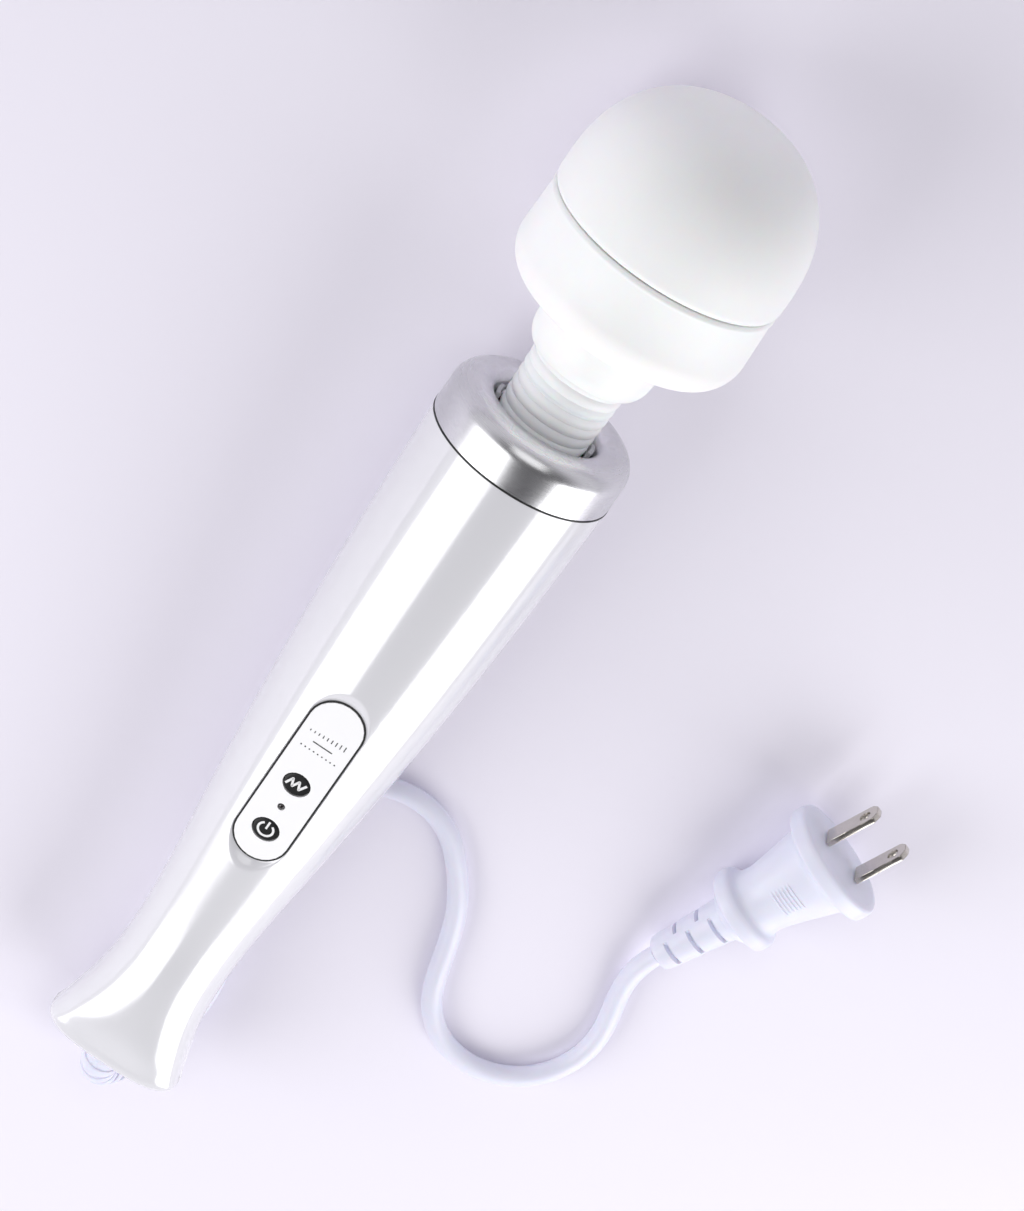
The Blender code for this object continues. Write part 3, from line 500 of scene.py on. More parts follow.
# %% The lead
LEAD_R = 2.75
LEAD_GAP = 0.6                 # between each guard's end and the lead's
END_STEP = 0.3                 # the end rings are this much smaller, which rounds the lead's ends
UP = np.array([0.0, 0.0, 1.0])
LEAD_ROUTE = [(15.3, -148.1, 3.4), (18.0, -136.5, 2.8), (16.8, -121.7, 2.8), (13.5, -107.4, 2.8),
              (9.0, -95.1, 2.8), (7.7, -79.3, 2.8), (15.9, -63.8, 2.8), (24.4, -58.1, 2.8),
              (35.5, -56.5, 2.8), (45.6, -60.0, 2.8), (54.2, -68.4, 2.8), (61.2, -80.1, 2.8),
              (65.4, -94.1, 2.8), (70.0, -106.9, 2.8), (77.1, -114.1, 2.8), (88.0, -117.6, 2.8),
              (100.3, -114.9, 2.8), (107.5, -108.9, 2.8), (112.6, -95.1, 2.8), (109.7, -76.2, 3.7)]

spots, ways = guard_line([GUARD_LENGTH])
first_way = ways[0] @ LAID[1]
first = placed(spots[0], LAID) / MM + LEAD_GAP * first_way
last = PLUG[0] / MM - LEAD_GAP * ahead
lead_line = smooth_curve([first, *LEAD_ROUTE, last], first_way, ahead, 1.5)
lead_ways = np.gradient(lead_line, axis=0)
lead_ways /= np.linalg.norm(lead_ways, axis=1)[:, None]
ends = [0, 0, *range(len(lead_line)), -1, -1]
rim = np.array([0, LEAD_R - END_STEP, *np.full(len(lead_line), LEAD_R), LEAD_R - END_STEP, 0])
power_cord = carried("power_lead", lead_line[ends] * MM, lead_ways[ends], rim * MM, UP, 28)
fit(power_cord, lead_white, "handle", "lead_white", "power_cord")

# %% [markdown]
# The plug is one moulding of the same PVC: a guard with short slots cut into it by turns on top and
# at the sides, so that it bends evenly, then a collar, a waist to hold it by and a wide flange
# behind the blades. Its sections are nearly ellipses, so the outline needs two radii at each place,
# and the slots and the raised finger ribs are a change of radius where a window function is 1.

# %% Windows and oval rings


def window(value, half, edge):
    """1 where |value| is below half, falling smoothly to 0 over the width of the edge."""
    t = np.clip((half + edge / 2 - np.abs(value)) / edge, 0, 1)
    return t * t * (3 - 2 * t)


def oval_skin(name, outline, sides, shape, where=PLUG):
    """Rings across the frame's Y axis: at (along, width, height) a point is (width c, along, height
    s) with c and s the cosine and sine of a, squared up a little by a power of 0.9; shape may then
    change the ring's points, and gets them with their places along and round."""
    a = np.linspace(0, 2 * np.pi, sides, endpoint=False)[None]
    along_y, width, height = outline.T[..., None]
    c, s = (np.sign(w) * np.abs(w) ** 0.9 for w in (np.cos(a), np.sin(a)))
    grid = np.stack([width * c, along_y + 0 * a, height * s], axis=-1)
    return skin(name, placed(shape(grid, along_y, a), where))


# %% Slots and finger ribs
SLOT_DEPTH = 1.5
SLOT_HALF = 0.5                # half the width of a slot
TOP_SPAN, SIDE_SPAN = math.radians(42), math.radians(30)   # half of how far round it goes
SLOTS = ((4.7, 0), (8.2, 1), (11.7, 0), (15.2, 1), (18.7, 0))   # (place, 0 on top or 1 at the side)


def slotted(grid, along_y, a):
    """Draws each slot's stretch of the rings in towards the axis."""
    from_top = np.abs(np.mod(a, np.pi) - np.pi / 2)
    share = np.zeros(grid.shape[:2])
    for place, side in SLOTS:
        off, span = (np.pi / 2 - from_top, SIDE_SPAN) if side else (from_top, TOP_SPAN)
        cut = window(along_y - place, SLOT_HALF, 0.25) * window(off, span, math.radians(7))
        share = np.maximum(share, cut)
    radius = np.hypot(grid[..., 0], grid[..., 2])
    pull = 1 - SLOT_DEPTH * share / np.maximum(radius, SLOT_DEPTH)
    return grid * np.stack([pull, np.ones_like(pull), pull], axis=-1)


GRIP_RIBS = 6
GRIP_PITCH = 1.05
GRIP_AT = 40.6                 # middle of the ribbed patch, along the plug
GRIP_HALF = 3.7                # half the length of a rib
GRIP_LIFT = 0.28
GRIP_SPAN = GRIP_RIBS * GRIP_PITCH / 2


def grip_ribs(grid, along_y, a):
    """Lifts a patch of fine ribs on the top and the underside of the plug's body."""
    x, _, z = np.moveaxis(grid, -1, 0)
    patch = window(along_y - GRIP_AT, GRIP_SPAN, 0.2) * window(x, GRIP_HALF, 0.3)
    from_rib = np.mod(along_y - GRIP_AT + GRIP_SPAN, GRIP_PITCH) - GRIP_PITCH / 2
    lift = GRIP_LIFT * patch * window(from_rib, 0.24, 0.2)
    return np.stack([x, grid[..., 1], z + lift * np.sign(z) * (np.abs(z) > 3)], axis=-1)


# %% The plug's guard and its body
guard_round = rounded([(0, 0, 0, 0), (0, 4.5, 4.5, 1.1), (2.0, 4.75, 4.75, 0.6), (19.0, 5.6, 5.6, 2),
                       (21.7, 6.0, 6.0, 0.3), (21.7, 0, 0, 0)])
plug_guard = oval_skin("slotted_plug_guard", refined(guard_round, 0.12), 112, slotted)
body_round = rounded([(22.0, 0, 0, 0), (22.0, 7.3, 7.1, 0.4), (24.2, 7.4, 7.2, 0.25),
                      (24.3, 11.4, 9.8, 1.2), (28.3, 11.5, 9.9, 1.5), (29.9, 9.0, 8.1, 1.2),
                      (33.5, 8.7, 7.9, 2.5), (42.0, 10.7, 8.5, 4), (49.6, 12.6, 9.3, 1.6),
                      (50.9, 14.2, 10.6, 0.5), (51.0, 16.4, 11.9, 1.2), (55.6, 16.4, 11.9, 1.6),
                      (PLUG_FACE, 14.4, 10.0, 0.3), (PLUG_FACE, 0, 0, 0)])
plug_body = oval_skin("moulded_plug_body", refined(body_round, 0.22), 128, grip_ribs)
fit(plug_guard, lead_white, "handle", "lead_white", "plug_guard")
fit(plug_body, lead_white, "handle", "lead_white", "plug_body")
print("plug", len(plug_guard.data.polygons) + len(plug_body.data.polygons), "faces")

# %% [markdown]
# A blade is stamped from strip: a flat plate with rounded edges, bevelled corners at its tip and a
# hole that the outlet's spring drops into. A Boolean would cut the hole; here the plate is a ring
# instead, wrapped from the edge of the hole out over one face, round the rim and back over the other.

# %% Blades
BLADE = (1.5, 15.4, 6.3)       # thick, long and wide
BLADE_SPACING = 12.7
BLADE_CUT = 1.7                # size of the bevels at its tip
BLADE_EDGE = 0.2               # and of the small ones round its edges
HOLE_R = 1.5
HOLE_BACK = 4.0                # from the tip to the middle of the hole


def plate(name, border, hole, thick, bevel, where, shift):
    """A flat plate round a hole: loops that run from the hole to the border, each a blend of the
    two, first over the upper face and then back over the lower one. The bevels are its turns."""
    centre = hole.mean(0)
    out_way = (border - centre) / np.linalg.norm(border - centre, axis=1)[:, None]
    half = thick / 2
    rows = []
    for side in (1, -1):
        face = [(0.0, bevel, half), (0.02, 0, half), (0.5, 0, half), (0.98, 0, half)]
        rim = [(1.0, -bevel, half), (1.0, -0.3 * bevel, half - 0.3 * bevel), (1.0, 0.0, half - bevel)]
        inner = [(0.0, 0.0, half - bevel), (0.0, 0.3 * bevel, half - 0.3 * bevel)]
        line = inner + face + rim
        for share, grow, high in (line if side == 1 else line[::-1]):
            ring = hole + share * (border - hole) + grow * out_way
            rows.append(np.column_stack([np.full(len(ring), side * high), ring]))
    return skin(name, placed(np.array(rows) + shift, where), rings=True)


def blade_border(count=120):
    """Points of a blade's edge, evenly apart: a strip whose tip has two large bevels."""
    low, high = PLUG_FACE + GAP, PLUG_FACE + GAP + BLADE[1]
    half, cut = BLADE[2] / 2, BLADE_CUT
    line = rounded([(low, -half, 0), (high - cut, -half, 0.5), (high, -half + cut, 0.5),
                    (high, half - cut, 0.5), (high - cut, half, 0.5), (low, half, 0), (low, -half, 0)])
    return evenly(line, lambda long: np.linspace(0, long, count, endpoint=False))


border = blade_border()
hole_at = np.array([PLUG_FACE + GAP + BLADE[1] - HOLE_BACK, 0.0])
toward = np.arctan2(border[:, 1], border[:, 0] - hole_at[0])
hole = hole_at + HOLE_R * np.stack([np.cos(toward), np.sin(toward)], axis=1)
for side_name, place in (("left", -BLADE_SPACING / 2), ("right", BLADE_SPACING / 2)):
    piece = plate(f"stamped_blade_{side_name}", border, hole, BLADE[0], BLADE_EDGE, PLUG, (place, 0, 0))
    fit(piece, blade_nickel, "handle", "plug_nickel", f"blade_{side_name}")

# %% [markdown]
# The handle is two half shells of ABS, 2.4 mm thick. Its outside is a profile: a rounded lip, a
# flare, a waist and a long swell up to the collar. The rear half is that profile turned through half
# a circle. The flare isn't quite round: its front edge is nearly straight, so a second formula takes
# depth from the front of its rings and leaves their width alone.

# %% Profile of the handle
COLLAR_START = 199.0
WALL = 2.4
LIP = 3.0
STATIONS = [(3, 19.0), (8, 17.5), (15, 15.8), (25, 14.35), (36, 14.0), (55, 15.1), (80, 17.6),
            (110, 20.3), (150, 22.9), (198.7, 24.5)]    # (along the axis, radius of the handle)

lip = arc((LIP, STATIONS[0][1] - LIP), (LIP, LIP), 180, 90, 14)
profile = np.vstack([[(0.0, 15.6)], lip, smooth_curve(STATIONS, (0.9, -0.43), (1, 0.02), 1.6)[1:]])
profile_run = run_along(profile)
print("handle", round(profile[:, 0].max(), 1), "mm long,", round(2 * profile[:, 1].max(), 1), "mm across")

# %% The flat front of the flare
FLAT_FROM = 36.0               # from here to the flared end, the front of the handle gets flatter
FLAT_DEPTH = 0.55              # depth of its front at the very end, as a share of a round one
FLAT_POWER = 3.0               # and the power of its section there, 2 being an ellipse


def flat_front(grid, from_radius=0.0):
    """Flattens the front of the flare: a ring's depth z becomes f r (1 - |x/r|^n)^(1/n), where f
    falls from 1 to FLAT_DEPTH and n grows from 2 to FLAT_POWER towards the end."""
    x, step, z = np.moveaxis(grid, -1, 0)
    radius = np.maximum(np.hypot(x, z), 1e-6)
    share = np.clip((FLAT_FROM - step) / (FLAT_FROM - LIP), 0, 1) ** 2
    power = 2 + (FLAT_POWER - 2) * share
    depth = radius * (1 - (1 - FLAT_DEPTH) * share)
    flat = depth * np.maximum(1 - np.minimum(np.abs(x) / radius, 1) ** power, 0) ** (1 / power)
    return np.stack([x, step, np.where((z > 0) & (share > 0) & (radius > from_radius), flat, z)], axis=-1)


def on_handle(angle, run):
    """Points of the handle's outside in the wand's frame, from the angle round it and the run along
    its profile: (radius sin angle, along, radius cos angle), with the front of the flare flat."""
    step, radius = (np.interp(run, profile_run, column) for column in profile.T)
    return flat_front(np.stack([radius * np.sin(angle), step, radius * np.cos(angle)], axis=-1))


def walled(piece, thick=WALL):
    """Gives a sheet its wall, towards the inside, without changing the outside."""
    wall = piece.modifiers.new("wall", "SOLIDIFY")
    wall.thickness = thick * MM
    wall.offset = -1.0
    return piece


# %% Rear half of the handle
HALF = math.radians(89.5)      # each half stops short of the joint between them
angle, run = np.meshgrid(np.linspace(math.pi - HALF, math.pi + HALF, 97), profile_run)
axis_middle = placed((0, 100, 0), WAND)
handle_rear = skin("handle_rear", placed(on_handle(angle, run), WAND), tube=False, inside=axis_middle)
fit(walled(handle_rear), shell_white, "handle", "gloss_white_shell", "rear_shell")
print("rear half", len(handle_rear.data.polygons), "faces")

# %% [markdown]
# The front half holds the recess for the panel. Its window cannot be cut from a turned grid cleanly,
# and a Boolean would leave long thin triangles that spoil the gloss. So its grid runs the other way:
# loops that start at the edge of the window, climb the sloping side of the recess, and open out until
# the last loop is the border of the half shell.

# %% Loops with round ends
PANEL_SIZE = (14.2, 51.0)
SIDE, CORNER, END = 90, 20, 90   # points on a long side, between it and a corner, and on an end

turn_a = np.radians(np.concatenate([np.linspace(0, 45, CORNER, endpoint=False),
                                    np.linspace(45, 135, END, endpoint=False),
                                    np.linspace(135, 180, CORNER, endpoint=False)]))
slide = np.linspace(-1, 1, SIDE, endpoint=False)
loop_x = np.concatenate([np.ones(SIDE), np.cos(turn_a), -np.ones(SIDE), -np.cos(turn_a)])
loop_y = np.concatenate([np.zeros(SIDE), np.sin(turn_a), np.zeros(SIDE), -np.sin(turn_a)])
loop_end = np.concatenate([slide, np.ones(len(turn_a)), -slide, -np.ones(len(turn_a))])


def stadiums(width, length):
    """Loops with straight sides and round ends: (width/2 cos, (length - width)/2 s + width/2 sin)."""
    width, length = np.asarray(width, float)[:, None], np.asarray(length, float)[:, None]
    return np.stack([width / 2 * loop_x, (length - width) / 2 * loop_end + width / 2 * loop_y], axis=-1)


# %% Front half of the handle, with the recess
RECESS_FLOOR = (15.4, 52.6)
RECESS_EDGE = (16.6, 59.0)     # where its sides would meet a flat surface at the height of the sink
PANEL_SINK = 1.75
CLIMB = 3.0                    # how far up the sloping side would go if nothing cut it off
EDGE_SOFT = 0.5                # height over which the recess's edge is rounded


def handle_height(spots_xy):
    """Height of the handle's outside over the recess floor, at (x, y) in the panel's frame: the
    height z is corrected until the point's distance from the axis is the radius at its place."""
    z = np.full(spots_xy.shape[:-1], PANEL_SINK)
    for _ in range(8):
        spot = seen_from(placed(np.concatenate([spots_xy, z[..., None]], axis=-1), PANEL), WAND)
        radius = np.interp(spot[..., 1], profile[8:, 0], profile[8:, 1])
        z += np.sqrt(radius ** 2 - spot[..., 0] ** 2) - spot[..., 2]
    return z


def soft_lower(a, b, k):
    """The lower of two heights, with the edge between them rounded over the height k."""
    return np.minimum(a, b) - np.maximum(k - np.abs(a - b), 0) ** 2 / (4 * k)


climb = np.concatenate([[0.0, 0.0], np.linspace(0, CLIMB, 27)[1:]])
share = climb / PANEL_SINK
width = RECESS_FLOOR[0] + (RECESS_EDGE[0] - RECESS_FLOOR[0]) * share
length = RECESS_FLOOR[1] + (RECESS_EDGE[1] - RECESS_FLOOR[1]) * share
width[0], length[0] = PANEL_SIZE[0] + 2 * GAP, PANEL_SIZE[1] + 2 * GAP
flat_loops = stadiums(width, length)
height = soft_lower(climb[:, None], handle_height(flat_loops), EDGE_SOFT)
recess = seen_from(placed(np.concatenate([flat_loops, height[..., None]], axis=-1), PANEL), WAND)

edge_angle = np.arctan2(recess[-1, :, 0], recess[-1, :, 2])
edge_run = np.interp(recess[-1, :, 1], profile[1:, 0], profile_run[1:])
# A loop's points go up one side of the border, round its end, down the other side and back. knots
# are the points where that changes; sideways and lengthways say where on the border they are.
knots = np.cumsum([0, SIDE, CORNER, END, CORNER, SIDE, CORNER, END, CORNER])
order = np.arange(knots[-1])
sideways = np.array([1, 1, 1, -1, -1, -1, -1, 1, 1])
lengthways = np.array([0.12, 0.88, 1, 1, 0.88, 0.12, 0, 0, 0.12])
border_angle = np.interp(order, knots, sideways * HALF)
border_run = np.interp(order, knots, lengthways * profile_run[-1])
t = 1 - (1 - np.linspace(0, 1, 49)[1:, None]) ** 1.5
outer = on_handle(edge_angle + t * (border_angle - edge_angle), edge_run + t * (border_run - edge_run))
handle_front = skin("handle_front", placed(np.concatenate([recess, outer]), WAND), inside=axis_middle)
fit(walled(handle_front), shell_white, "handle", "gloss_white_shell", "front_shell")
print("front half", len(handle_front.data.polygons), "faces on", len(recess) + len(outer), "loops")

# %% [markdown]
# The collar is a turned ring, polished and chromed: a straight wall, a round shoulder and a top that
# falls to the opening. A black seal fills the seam below it and shows as a thin dark line. Each is
# its outline turned about the axis, with the edges rounded as a real tool leaves them.

# %% Collar and its seal
COLLAR_TOP = 212.0
HANDLE_R = 24.5
SHOULDER = 5.4
SEAM_AT = 198.85               # middle of the seam between the handle and the collar

shoulder = arc((COLLAR_TOP - SHOULDER, HANDLE_R - SHOULDER), (SHOULDER, SHOULDER), 90, 0, 20)
wall_end = rounded([(COLLAR_START, 21.8, 0), (COLLAR_START, HANDLE_R, 0.25),
                    (COLLAR_TOP - SHOULDER, HANDLE_R, 0)])
falls = rounded([(COLLAR_TOP, HANDLE_R - SHOULDER, 0), (211.7, 17.0, 1.0), (210.9, 15.2, 0.8),
                 (209.2, 14.1, 0.8), (203.0, 14.1, 0.2), (203.0, 19.6, 0.2), (193.0, 19.6, 0.3),
                 (193.0, 21.8, 0.3)])
collar = turned("polished_collar", np.vstack([wall_end, shoulder[1:], falls[1:]]), sides=224)
fit(collar, collar_chrome, "handle", "collar_chrome", "collar_ring")

half_seal = [(0.11, 21.9, 0), (0.11, 24.50, 0), (0.25, 24.52, 0), (0.21, 24.60, 0.03)]   # from its middle
seal = [(SEAM_AT - off, *rest) for off, *rest in half_seal]
seal += [(SEAM_AT + off, *rest) for off, *rest in half_seal[::-1]]
fit(turned("seam_seal", rounded(seal, closed=True)), black_nylon_and_shade, "handle", "black_rubber")
print("collar", 2 * HANDLE_R, "mm across,", COLLAR_TOP - COLLAR_START, "mm high")

# %% [markdown]
# In the collar's opening stand a black liner, which makes it look deep, a thin white ring round the
# neck and two small grey clips at its sides. The liner and the ring are turned. A clip is a short
# stretch of such a ring: its section is repeated round a few degrees and shrunk to a point at both
# ends, which closes it and rounds its corners.

# %% What stands in the opening
CLIP_HALF = 13.0               # half the angle that a clip covers, in degrees
CLIP_STEPS = 15

liner = rounded([(187.5, 3.6, 0), (187.5, 19.3, 0.3), (190.2, 19.3, 0.3), (190.2, 13.8, 0.3),
                 (206.2, 13.8, 0.3), (206.2, 12.4, 0.3), (198.6, 12.4, 0.3), (198.6, 3.6, 0.3)], closed=True)
fit(turned("socket_liner", liner), black_nylon_and_shade, "handle", "black_plastic", "neck_socket")
ring = rounded([(206.5, 12.5, 0.2), (206.5, 13.8, 0.3), (207.6, 13.8, 0.4), (207.6, 12.5, 0.4)], closed=True)
fit(turned("opening_ring", ring), ring_white, "handle", "white_plastic", "neck_ring")

section = rounded([(12.5, 207.9, 0.3), (13.7, 207.9, 0.2), (13.7, 210.0, 0.5), (12.5, 210.0, 0.5)],
                  closed=True)
shrink = np.array([0.0, 0.9, *np.ones(CLIP_STEPS), 0.9, 0.0])[:, None, None]
body_turn = np.linspace(0.3 - CLIP_HALF, CLIP_HALF - 0.3, CLIP_STEPS)
clip_turn = np.array([-CLIP_HALF, -CLIP_HALF, *body_turn, CLIP_HALF, CLIP_HALF])
for side_name, middle in (("left", -90.0), ("right", 90.0)):
    a = np.radians(middle + clip_turn)[:, None]
    radius, step = (section.mean(0) + shrink * (section - section.mean(0))).transpose(2, 0, 1)
    grid = np.stack([radius * np.sin(a), step, radius * np.cos(a)], axis=-1)
    fit(skin(f"opening_clip_{side_name}", placed(grid, WAND)), clip_grey, "handle", "grey_plastic",
        f"neck_clip_{side_name}")

# %% The cap in the flared end
CAP_ROUND = 8.0                # inside this radius the cap stays round, for the guard that goes through it

cap = rounded([(1.0, 6.4, 0.4), (1.0, 15.3, 0.4), (3.3, 15.3, 0.2), (3.3, 6.4, 0.3)], closed=True)
end_cap = turned("flare_end_cap", cap, shape=lambda grid: flat_front(grid, CAP_ROUND))
fit(end_cap, shell_white, "handle", "gloss_white_shell", "end_cap")
print("end cap", len(end_cap.data.polygons), "faces")

# %% [markdown]
# The neck bends, so its sleeve, its spring and the flexible shaft are each made in two halves that
# meet at the pivot: a lower half from the handle to the guide in the middle of the neck, and an upper
# half from the guide to the head. On the real one only the stretch between the collar and the skirt
# bends; what is inside them is still. Here each half only gets its finish, hides the CAD part that it
# replaces and has its place baked into its mesh; nothing makes the halves bend.

# %% Halves of the neck
NECK_LOW = 204.6
NECK_HIGH = 236.0
RIB_PITCH = 2.9
SLEEVE_R = 11.4                # between the ribs at its lower end
SLEEVE_TAPER = 1.05            # how much wider it is at its upper end
SLEEVE_BORE = 10.3
RIB_HEIGHT = 0.5
COIL_FROM = 200.0
COIL_TO = 236.4
COIL_R = 8.9
COIL_PITCH = 5.2
WIRE_R = 0.8
SHAFT_FROM = 198.5
SHAFT_TO = 237.6
SHAFT_R = 1.9


def sleeve_half(low, high):
    """A ribbed sleeve: its radius is a slow taper plus a rib height times |sin(pi y / pitch)|^0.7."""
    step = np.arange(low, high + 0.01, 0.145)
    rib = np.abs(np.sin(np.pi * (step - NECK_LOW) / RIB_PITCH)) ** 0.7
    radius = SLEEVE_R + SLEEVE_TAPER * (step - NECK_LOW) / (NECK_HIGH - NECK_LOW) + RIB_HEIGHT * rib
    return np.vstack([np.stack([step, radius], axis=1), [(step[-1], SLEEVE_BORE), (step[0], SLEEVE_BORE)]])


def bends(piece, look, slot, lower, *nodes):
    """Gives a half of the neck its material, hides the nodes that it replaces and bakes its place into its mesh.
    slot and lower are not used.
    """
    piece.data.materials.append(look)
    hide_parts(*nodes)
    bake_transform(piece)


def coil(name, low, high):
    """A round wire along a helix: (R sin a, along, R cos a), where a grows by a turn in each pitch."""
    step = np.linspace(low, high, round((high - low) * 8))
    a = 2 * np.pi * (step - COIL_FROM) / COIL_PITCH
    line = np.stack([COIL_R * np.sin(a), step, COIL_R * np.cos(a)], axis=1)
    way = np.gradient(line, axis=0)
    way /= np.linalg.norm(way, axis=1)[:, None]
    ends = [0, *range(len(line)), -1]
    radii = np.array([0, *np.full(len(line), WIRE_R), 0])
    return carried(name, line[ends], way[ends], radii, np.array([0, 1.0, 0]), 10, WAND)


# %% Sleeve, spring and shaft
steel_spring = machined("drawn_spring_steel", "#a9acb1", (0.22, 0.38), 0.10, 0.0010)
steel_shaft = machined("ground_steel", "#b4b7bb", (0.15, 0.30), 0.08, 0.0008)
for lower, low, high in ((True, NECK_LOW, NECK_PIVOT), (False, NECK_PIVOT, NECK_HIGH)):
    part = "lower" if lower else "upper"
    bends(turned(f"neck_sleeve_{part}", sleeve_half(low, high)), sleeve_white, "soft_white_head", lower,
          "neck_sleeve")
    bends(coil(f"neck_spring_{part}", COIL_FROM if lower else low, high if lower else COIL_TO),
          steel_spring, "steel", lower, "neck_spring")
    ends = (SHAFT_FROM, NECK_PIVOT) if lower else (NECK_PIVOT, SHAFT_TO)
    rod = [(ends[0], 0), *[(step, SHAFT_R) for step in np.linspace(*ends, 12)], (ends[1], 0)]
    bends(turned(f"flexible_shaft_{part}", rod, sides=32, closed=False), steel_shaft, "steel", lower,
          "flex_shaft")

# %% [markdown]
# The head is two silicone mouldings over a rigid core, with a shallow seam between them, and a skirt
# that hides where the sleeve goes in. The dome is a superellipse of exponent 2.35: it is squarer
# than half an ellipse, which is what makes this head look like a cushion and not like a ball.

# %% The dome of the head
HEAD_START = 239.0
HEAD_R = 31.0
HEAD_TOP = 300.0
GROOVE_AT = 263.6
DOME_FROM = 268.0
DOME_POWER = 2.35
HEAD_WALL = 3.0


def dome(radius, top, steps):
    """From the widest ring to the axis: (middle + height sin^(2/n) t, radius cos^(2/n) t)."""
    t = np.linspace(0, np.pi / 2, steps + 1)
    rise, reach = np.sin(t) ** (2 / DOME_POWER), np.clip(np.cos(t), 0, 1) ** (2 / DOME_POWER)
    reach[-1] = 0.0
    return np.stack([DOME_FROM + (top - DOME_FROM) * rise, radius * reach], axis=1)


# %% Skirt, lower cover and cap
skirt = rounded([(226.8, 13.4, 0.2), (226.9, 14.5, 0.6), (229.2, 16.0, 1.6), (232.5, 16.4, 2),
                 (238.7, 17.1, 0.4), (238.7, 11.6, 0.3), (236.6, 11.6, 0.3), (236.6, 13.4, 0.3)], closed=True)
fit(turned("head_skirt_moulding", skirt), head_white, "head", "soft_white_head", "head_skirt")
edge = arc((249.0, 23.5), (8.8, HEAD_R - 23.5), 180, 90, 24)
bead = rounded([(HEAD_START, 17.4, 0), (HEAD_START, 22.6, 0.5), (239.7, 23.6, 0.6), (240.3, 23.6, 0.3)])
seam = rounded([(GROOVE_AT - 1.2, HEAD_R, 0.8), (GROOVE_AT - 0.2, HEAD_R - 0.7, 0.3),
                (GROOVE_AT - 0.2, HEAD_R - HEAD_WALL, 0.3), (250, HEAD_R - HEAD_WALL, 2),
                (244.2, 23.5, 1), (242.0, 17.4, 0.4)], closed=True)
fit(turned("head_lower_moulding", np.vstack([bead, edge[1:], seam]), sides=224), head_white, "head",
    "soft_white_head", "head_lower_cover")
over_seam = rounded([(GROOVE_AT + 0.2, HEAD_R - HEAD_WALL, 0), (GROOVE_AT + 0.2, HEAD_R - 0.7, 0.3),
                     (GROOVE_AT + 1.2, HEAD_R, 0.8), (DOME_FROM, HEAD_R, 0)])
shell = np.vstack([over_seam, dome(HEAD_R, HEAD_TOP, 64)[1:],
                   dome(HEAD_R - HEAD_WALL, HEAD_TOP - HEAD_WALL, 24)[::-1]])
fit(turned("head_cap_moulding", shell, sides=224), head_white, "head", "soft_white_head", "head_cap")
print("head", 2 * HEAD_R, "mm across,", HEAD_TOP - HEAD_START, "mm high")

# %% [markdown]
# The control panel is a flat plate in its recess, with a film over its face. It is a CAD part whose
# shape is right, so it only needs its finish. The keys are silicone, oval and slightly crowned, with
# a flange under the plate that keeps them in. They and the lamp's lens are turned, like the collar,
# but about lines that stand out of the panel; the oval is the same circle made a little shorter.

# %% Keys and lamp
KEY_SIZE = (6.8, 6.0)
POWER_KEY_Y = -16.6            # from the middle of the panel
MODE_KEY_Y = -1.0
LAMP_Y = -8.7
KEY_FACE = PANEL_TOP - 0.05


def turned_on_panel(name, outline, place, oval=1.0, sides=72):
    """A piece turned about a line out of the panel: (height, radius) goes to (radius cos a, place +
    oval radius sin a, height)."""
    a = np.linspace(0, 2 * np.pi, sides, endpoint=False)
    high, radius = np.asarray(outline, float).T[..., None]
    grid = np.stack([radius * np.cos(a), place + oval * radius * np.sin(a), high + 0 * a], axis=-1)
    return skin(name, placed(grid, PANEL))


key_r = KEY_SIZE[0] / 2
key_outline = rounded([(KEY_FACE, 0, 0), (KEY_FACE - 0.02, key_r - 0.5, 0.3),
                       (KEY_FACE - 0.12, key_r - 0.06, 0.12), (-0.6, key_r, 0.1), (-1.3, key_r, 0),
                       (-1.3, key_r + 0.9, 0.1), (-2.1, key_r + 0.9, 0.1), (-2.1, 1.5, 0.1),
                       (-3.2, 1.5, 0.1), (-3.2, 0, 0)])
for node, body, place in (("power_button", "power_key", POWER_KEY_Y),
                          ("mode_button", "mode_key", MODE_KEY_Y)):
    key = turned_on_panel(f"{body}_top", key_outline, place, KEY_SIZE[1] / KEY_SIZE[0])
    fit(key, key_black, body, "key_black", node)
lens = rounded([(KEY_FACE + 0.02, 0, 0), (KEY_FACE, 0.45, 0.2), (KEY_FACE - 0.25, 0.7, 0.2),
                (-2.2, 0.7, 0.05), (-2.2, 0, 0)])
fit(turned_on_panel("lamp_lens", lens, LAMP_Y, sides=40), lamp_dark, "handle", "lamp", "led_lens")
print("keys", KEY_SIZE[0], "by", KEY_SIZE[1], "mm")

# %% [markdown]
# A thin black band lies between the panel and its recess. It is painted shade: it stands in for the
# shadow in the gap round the panel and draws the dark line there. A bent wire would do for the line.
# Its section is flat with a rounded edge and a lip that goes down beside the panel, so it is the
# recess's own loops again, one for each corner of that section.

# %% The black band of painted shade round the panel
GAP_SHADE = [(0.04, -1.2), (0.04, 0.10), (0.16, 0.16), (0.92, 0.16), (1.02, 0.08), (1.02, 0.02),
          (0.54, 0.02), (0.54, -1.2)]    # how much wider than the panel, and how high, in its frame

wider, levels = np.array(GAP_SHADE).T
gap_shade_loops = stadiums(PANEL_SIZE[0] + wider, PANEL_SIZE[1] + wider)
levels = np.broadcast_to(levels[:, None, None], (*gap_shade_loops.shape[:2], 1))
# Painted shade: this black band stands in for the shadow in the gap round the panel.
gap_shade = skin("panel_gap_shade", placed(np.concatenate([gap_shade_loops, levels], axis=-1), PANEL), rings=True)
fit(gap_shade, black_nylon_and_shade, "handle", "black_rubber")
print("gap_shade", len(gap_shade.data.polygons), "faces")

